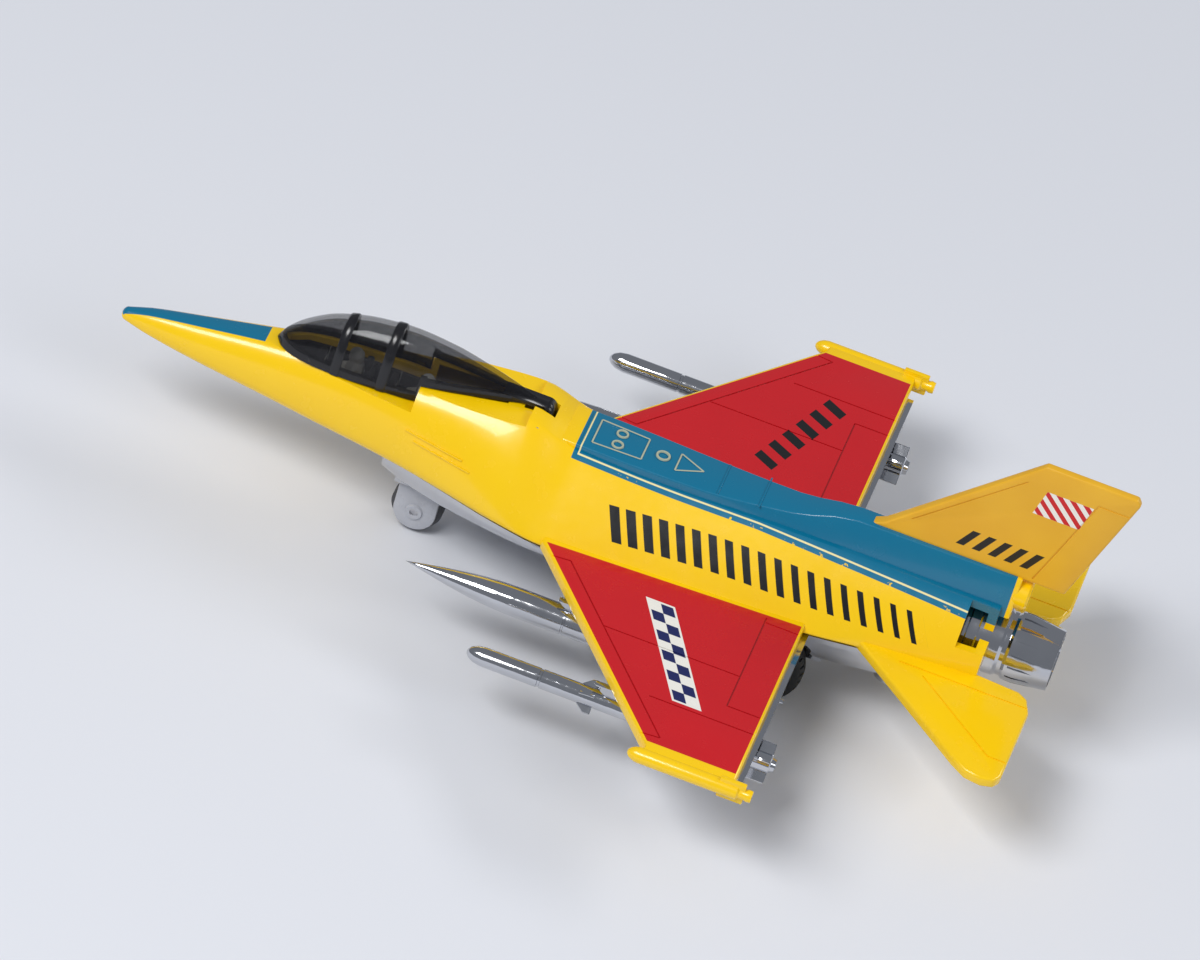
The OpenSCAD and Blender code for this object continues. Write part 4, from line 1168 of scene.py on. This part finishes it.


# %% [markdown]
# The body is enamel over zinc: a gloss yellow coat, red wing panels, a blue spine and nose stripe, and
# black printing. Enamel pools a little, so it has a faint orange peel and is thinner on edges. The cut
# grooves get a painted shade, a faint dark red tint, and the tops of the raised spine hatches get a
# painted highlight. The stripes are colours mixed over one another, in the order that they are printed.

# %% Enamel of the body
enamel = Finish("body_enamel", paint_color(255, 208, 0), Coat_Roughness=0.04)
station, port, height = in_millimetres(enamel)
reach = abs(port)
YELLOW, RED, BLUE = paint_color(255, 210, 0), paint_color(206, 20, 30), paint_color(0, 112, 148)
BLACK, CREAM = paint_color(18, 18, 20), paint_color(245, 232, 170)
NAVY, WHITE = paint_color(24, 34, 92), paint_color(240, 238, 230)

tone = enamel.grain(0.012, 2)
color = enamel.mix(tone * 0.5, YELLOW, paint_color(250, 196, 0))

on_wing = height.between(WING_TOP - 0.45, WING_TOP + 0.6)
panel = on_wing * reach.below(62) * station.below(139.1)
panel = panel * (reach + station * 0.057).above(24.4) * (station - reach * 0.75).above(75.5)
color = enamel.mix(panel, color.socket, enamel.mix(tone * 0.6, RED, paint_color(192, 16, 26)).socket)

spine_half = abs(station - 125) * 0.02 + 6.9
on_spine = station.between(88.5, 173) * height.above(6.5) * (reach - spine_half).below(0)
color = enamel.mix(on_spine, color.socket, BLUE)
rim = (reach - spine_half).near(-0.95, 0.14) * station.between(89.4, 172)
rim = rim.high(station.near(89.5, 0.14) * (reach - spine_half).below(-0.85)) * on_spine
# Painted highlight: the tops of the raised hatch outlines, filler rings and arrow on the spine are lightened
# half way to cream.
ridge_highlight = (height + station
          * 0.0115).above(14.0, 0.06) * station.between(90.3, 113) * reach.below(4.2) * on_spine
color = enamel.mix(ridge_highlight * 0.5, color.socket, CREAM)
color = enamel.mix(rim, color.socket, CREAM)
nose_stripe = station.below(27.5) * height.above(0.25) * (reach - station * 0.045).below(1.1)
color = enamel.mix(nose_stripe, color.socket, BLUE)
print("ground colours are mixed")

# %% [markdown]
# The printing is made of plain bars and checks, which belong to nobody. On each shoulder a row of slanted
# bars thins out towards the tail. The starboard wing has six bars, and the port wing a checked band.

# %% Printing on the body
shoulder_line = (5.2 - abs(station - 122) * 0.028).low(5.1)
slant = (station + height * 0.62) / 3.2
thinning = 0.62 - (station - 99) * 0.005
shoulder = (slant.part() - thinning).below(0, 0.03) * (height - shoulder_line).near(0, 2.35)
shoulder = shoulder * slant.between(32, 51, 0.02) * reach.between(7.9, 18.5) * height.above(0.4)
color = enamel.mix(shoulder, color.socket, BLACK)

BARS_S, BAND_S, BAND_Y = 111, 101.7, 24.45
wing_line = station - reach * 0.363
tally = (reach - 24.5 + (wing_line - BARS_S) * 0.5) / 4.25
bars = tally.part().below(0.5, 0.02) * tally.between(0, 5.8, 0.02)
bars = bars * wing_line.near(BARS_S, 2.5) * port.below(-20) * on_wing
color = enamel.mix(bars, color.socket, BLACK)

band_line = station - port * 0.495
band = band_line.near(BAND_S, 2.85) * port.between(24, 49) * on_wing
inner = band_line.near(BAND_S, 2.4) * port.between(BAND_Y, 48.55) * on_wing
odd_row = (band_line - BAND_S).above(0)
odd_column = ((port - BAND_Y) / 4.82).part().above(0.5, 0.02)
checks = odd_row + odd_column - odd_row * odd_column * 2
color = enamel.mix(band, color.socket, WHITE)
color = enamel.mix(inner * checks, color.socket, NAVY)
print("printing is laid on")

# %% Painted groove shade, wear and gloss of the enamel
# Painted shade: low in the cut grooves of the wings, the colour is tinted a little towards dark red to stand
# for the shade that falls in them.
groove_shade = height.between(WING_TOP - 0.5, WING_TOP - 0.1) * reach.between(19.5, 60.5)
groove_shade = groove_shade * station.below(138.6) * (station - reach * 0.75).above(77)
color = enamel.mix(groove_shade * 0.2, color.socket, paint_color(60, 10, 8))
chips = enamel.grain(0.0011, 3).above(0.64, 0.02) * abs(reach - spine_half).below(0.5)
chips = chips * on_spine * enamel.grain(0.009, 1).above(0.5, 0.05)
color = enamel.mix(chips, color.socket, YELLOW)
peel = enamel.grain(0.0016, 2)
enamel.shader.inputs["Coat Weight"].default_value = 0.3
enamel.bump(peel, 0.000006)
gloss(enamel, 0.16, 0.34, 0.003)
enamel.set(Base_Color=color)
print("enamel:", len(enamel.tree.nodes), "nodes")

# %% [markdown]
# The fin is moulded in orange-yellow plastic that has a softer gloss than the enamel. A few short bars
# and a striped badge near its tip are printed on both faces, and the printing follows the sweep.

# %% Fin plastic
fin_plastic = Finish("fin_plastic", paint_color(236, 178, 36))
station, port, height = in_millimetres(fin_plastic)
cloud = fin_plastic.grain(0.01, 2)
color = fin_plastic.mix(cloud, paint_color(240, 186, 44), paint_color(226, 166, 28))
swept = station - height * 0.25
count = (station - height * 0.6) / 3.1
row = count.part().below(0.5, 0.03) * count.between(48, 52.8, 0.02) * height.near(20.8, 2)
color = fin_plastic.mix(row, color.socket, BLACK)
badge = height.between(31.5, 37.2) * swept.between(163.8, 172.8)
stripes = ((station + height) / 2.6).part().above(0.5, 0.03)
color = fin_plastic.mix(badge, color.socket, WHITE)
color = fin_plastic.mix(badge * stripes, color.socket, RED)
fin_plastic.bump(fin_plastic.grain(0.0008, 2), 0.00001)
fin_plastic.set(Base_Color=color)
gloss(fin_plastic, 0.28, 0.46)
print("fin plastic:", len(fin_plastic.tree.nodes), "nodes")

# %% [markdown]
# Vacuum plating is a mirror one thousandth of a millimetre thick on moulded plastic. It shows the slow
# waves of the moulding under it and goes hazy where fingers rub it, so a long ripple and a patchy
# roughness do more for it than any colour. Chrome in a pale room also needs something dark to show.

# %% Plating
plating = Finish("vacuum_plating", (0.62, 0.63, 0.66), Metallic=1.0)
ripple = plating.grain(0.006, 2)
haze = plating.grain(0.011, 4)
plating.bump(ripple, 0.00018)
plating.set(Roughness=haze.above(0.5, 0.4) * 0.1 + 0.05)
plating.set(Base_Color=plating.mix(haze, (0.68, 0.69, 0.72), (0.5, 0.51, 0.54)))

# %% [markdown]
# The canopy is clear plastic with smoke dye. Dye hides more where the plastic is thicker, so the hoops
# and the rim along the sill are denser than the bubble, which still lets the crew be seen.

# %% Smoke plastic
smoke = Finish("smoke_plastic", paint_color(30, 30, 34), Roughness=0.05, IOR=1.5)
station, port, height = in_millimetres(smoke)
fore_sill = (height - 7.4 - (station - 28) * 0.0435).below(1.7) * station.below(57.6)
aft_sill = (height - 12.1 - (station - 57.9) * 0.0857).below(1.5) * station.above(57.6)
edge_rim = (fore_sill + aft_sill).high(station.near(57.9, 0.6) * height.below(14)).low(1)
scuffs = smoke.grain(0.0007, 4, (1, 4, 1)).above(0.68, 0.05)
smoke.set(Alpha=edge_rim * 0.48 + 0.43)
smoke.set(Base_Color=smoke.mix(scuffs * 0.25, paint_color(24, 24, 28), paint_color(120, 120, 124)))
smoke.set(Roughness=scuffs * 0.15 + 0.05)
hoop_smoke = Finish("smoke_hoops", paint_color(16, 16, 18))
hoop_smoke.set(Base_Color=hoop_smoke.mix(hoop_smoke.grain(0.002), paint_color(14, 14, 16),
                                         paint_color(34, 34, 38)))
gloss(hoop_smoke, 0.12, 0.3, 0.001)
print("plating and smoke plastic are ready")

# %% [markdown]
# The rest are everyday toy materials. One recipe makes a moulded plastic: a ground colour that drifts a
# little towards a second one, a fine texture from the mould, and a wandering gloss.

# %% Plastics, rubber and metals


def moulded(name, first, second, rough, texture, depth, **constants):
    """A plastic or rubber: two near colours, a gloss range, and a mould texture's size and depth."""
    finish = Finish(name, paint_color(*first), **constants)
    finish.set(Base_Color=finish.mix(finish.grain(0.005, 4), paint_color(*first), paint_color(*second)))
    finish.bump(finish.grain(texture, 3), depth)
    gloss(finish, *rough, 0.0025)
    return finish


def metal(name, first, second, rough, stretch, lines=0.0006):
    """A metal with tool marks that run across the stretch."""
    finish = Finish(name, first, Metallic=1.0)
    marks = finish.grain(lines, 4, stretch)
    finish.set(Base_Color=finish.mix(marks, first, second))
    finish.bump(marks, 0.000006)
    finish.set(Roughness=marks * (rough[1] - rough[0]) + rough[0])
    return finish


tray_plastic = moulded("tray_plastic", (44, 44, 48), (30, 30, 34), (0.45, 0.7), 0.0005, 0.00003)
station, port, height = in_millimetres(tray_plastic)
dial_rims = station.between(38.72, 38.85,
                            0.02).high(station.between(52.72, 52.85, 0.02)) * height.above(3.6)
under_rims = tray_plastic.mix(tray_plastic.grain(0.003), paint_color(44, 44, 48), paint_color(28, 28, 32))
tray_plastic.set(Base_Color=tray_plastic.mix(dial_rims, under_rims.socket, paint_color(190, 190, 186)))
crew_plastic = moulded("crew_plastic", (226, 224, 216), (204, 202, 192), (0.4, 0.6), 0.0006, 0.00003)
fork_plastic = moulded("fork_plastic", (196, 198, 204), (178, 180, 188), (0.2, 0.36), 0.0009, 0.00001)
roller_plastic = moulded("roller_plastic", (74, 76, 80), (54, 56, 60), (0.45, 0.65), 0.0004, 0.00003)
rubber = moulded("tyre_rubber", (34, 34, 34), (20, 20, 21), (0.62, 0.85), 0.0003, 0.00005)
motor_plastic = moulded("motor_plastic", (228, 226, 216), (210, 208, 196), (0.35, 0.55), 0.0006, 0.00002)
nylon = moulded("gear_nylon", (236, 230, 208), (220, 212, 188), (0.3, 0.5), 0.0005, 0.00001)
steel = metal("ground_steel", (0.62, 0.62, 0.64), (0.45, 0.45, 0.47), (0.2, 0.42), (1, 0.15, 1))
screw_steel = metal("zinc_screws", (0.66, 0.67, 0.68), (0.5, 0.51, 0.52), (0.25, 0.5), (1, 1, 1), 0.0004)
brass = metal("cut_brass", (0.76, 0.56, 0.22), (0.6, 0.42, 0.15), (0.2, 0.4), (1, 0.15, 1))
blued = metal("blued_spring", (0.27, 0.3, 0.4), (0.16, 0.17, 0.24), (0.22, 0.45), (1, 1, 0.2))
print("finishes:", len([m for m in bpy.data.materials if m.users]), "in use so far")

# %% [markdown]
# ## Putting the toy together
# Each modelled piece now rides on a body of the frame, hides the checked piece that it stands for, and
# gets its finish. The pieces inside keep their checked shapes and get a finish and smooth shading.

# %% Outside pieces
for piece in (fuselage, hull, tub, canopy, canopy_arm, screws):
    healed(piece)
for piece in body_pieces:
    assigned(piece, "airframe", ["upper_body"], enamel.material)
assigned(fin, "airframe", ["tail_fin"], fin_plastic.material)
assigned(hull, "airframe", ["lower_hull"], plating.material)
assigned(nozzle, "airframe", ["exhaust_nozzle"], plating.material)
assigned(canopy, "canopy", ["canopy"], smoke.material)
assigned(canopy_frame, "canopy", ["canopy"], hoop_smoke.material)
assigned(canopy_arm, "canopy", ["canopy"], hoop_smoke.material)
assigned(tub, "airframe", ["cockpit_tub"], tray_plastic.material)
assigned(front_crew, "airframe", ["front_pilot"], crew_plastic.material)
assigned(rear_crew, "airframe", ["rear_pilot"], crew_plastic.material)
assigned(fork, "airframe", ["nose_gear_fork"], fork_plastic.material)
assigned(nose_wheel, "nose_wheel", ["nose_wheel"], roller_plastic.material)
assigned(screws, "airframe", ["body_screws"], screw_steel.material)
for word in SIDES:
    assigned(tanks[word], "airframe", [word + "_drop_tank"], plating.material)
    assigned(shots[word], "airframe", [word + "_missile"], plating.material)
    assigned(hubs[word], "rear_wheels", [word + "_wheel_hub"], plating.material)
    assigned(tyres[word], "rear_wheels", [word + "_tyre"], rubber.material)

# %% Inside pieces
INSIDE = {
    "motor_case_left": motor_plastic, "motor_case_right": motor_plastic, "drive_gear": brass,
    "idler_gear": nylon, "spring_gear": nylon, "mainspring": blued, "spring_arbor": steel,
    "idler_shaft": steel, "rear_axle": steel, "nose_axle": steel, "canopy_hinge_pin": steel,
    "motor_case_screws": screw_steel, "motor_mounting_screws": screw_steel}
for node, finish in INSIDE.items():
    inner = bpy.data.objects[node]
    for slot_place in inner.material_slots:
        slot_place.material = finish.material
    smooth(inner, 35)
print("inside pieces finished:", len(INSIDE))

# %% Measure and finish
whole_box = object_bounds()
sizes = [[round((high - low) / MM, 1) for low, high in zip(*box)] for box in (cad_box, whole_box)]
print("checked frame", sizes[0], "mm, finished toy", sizes[1], "mm")
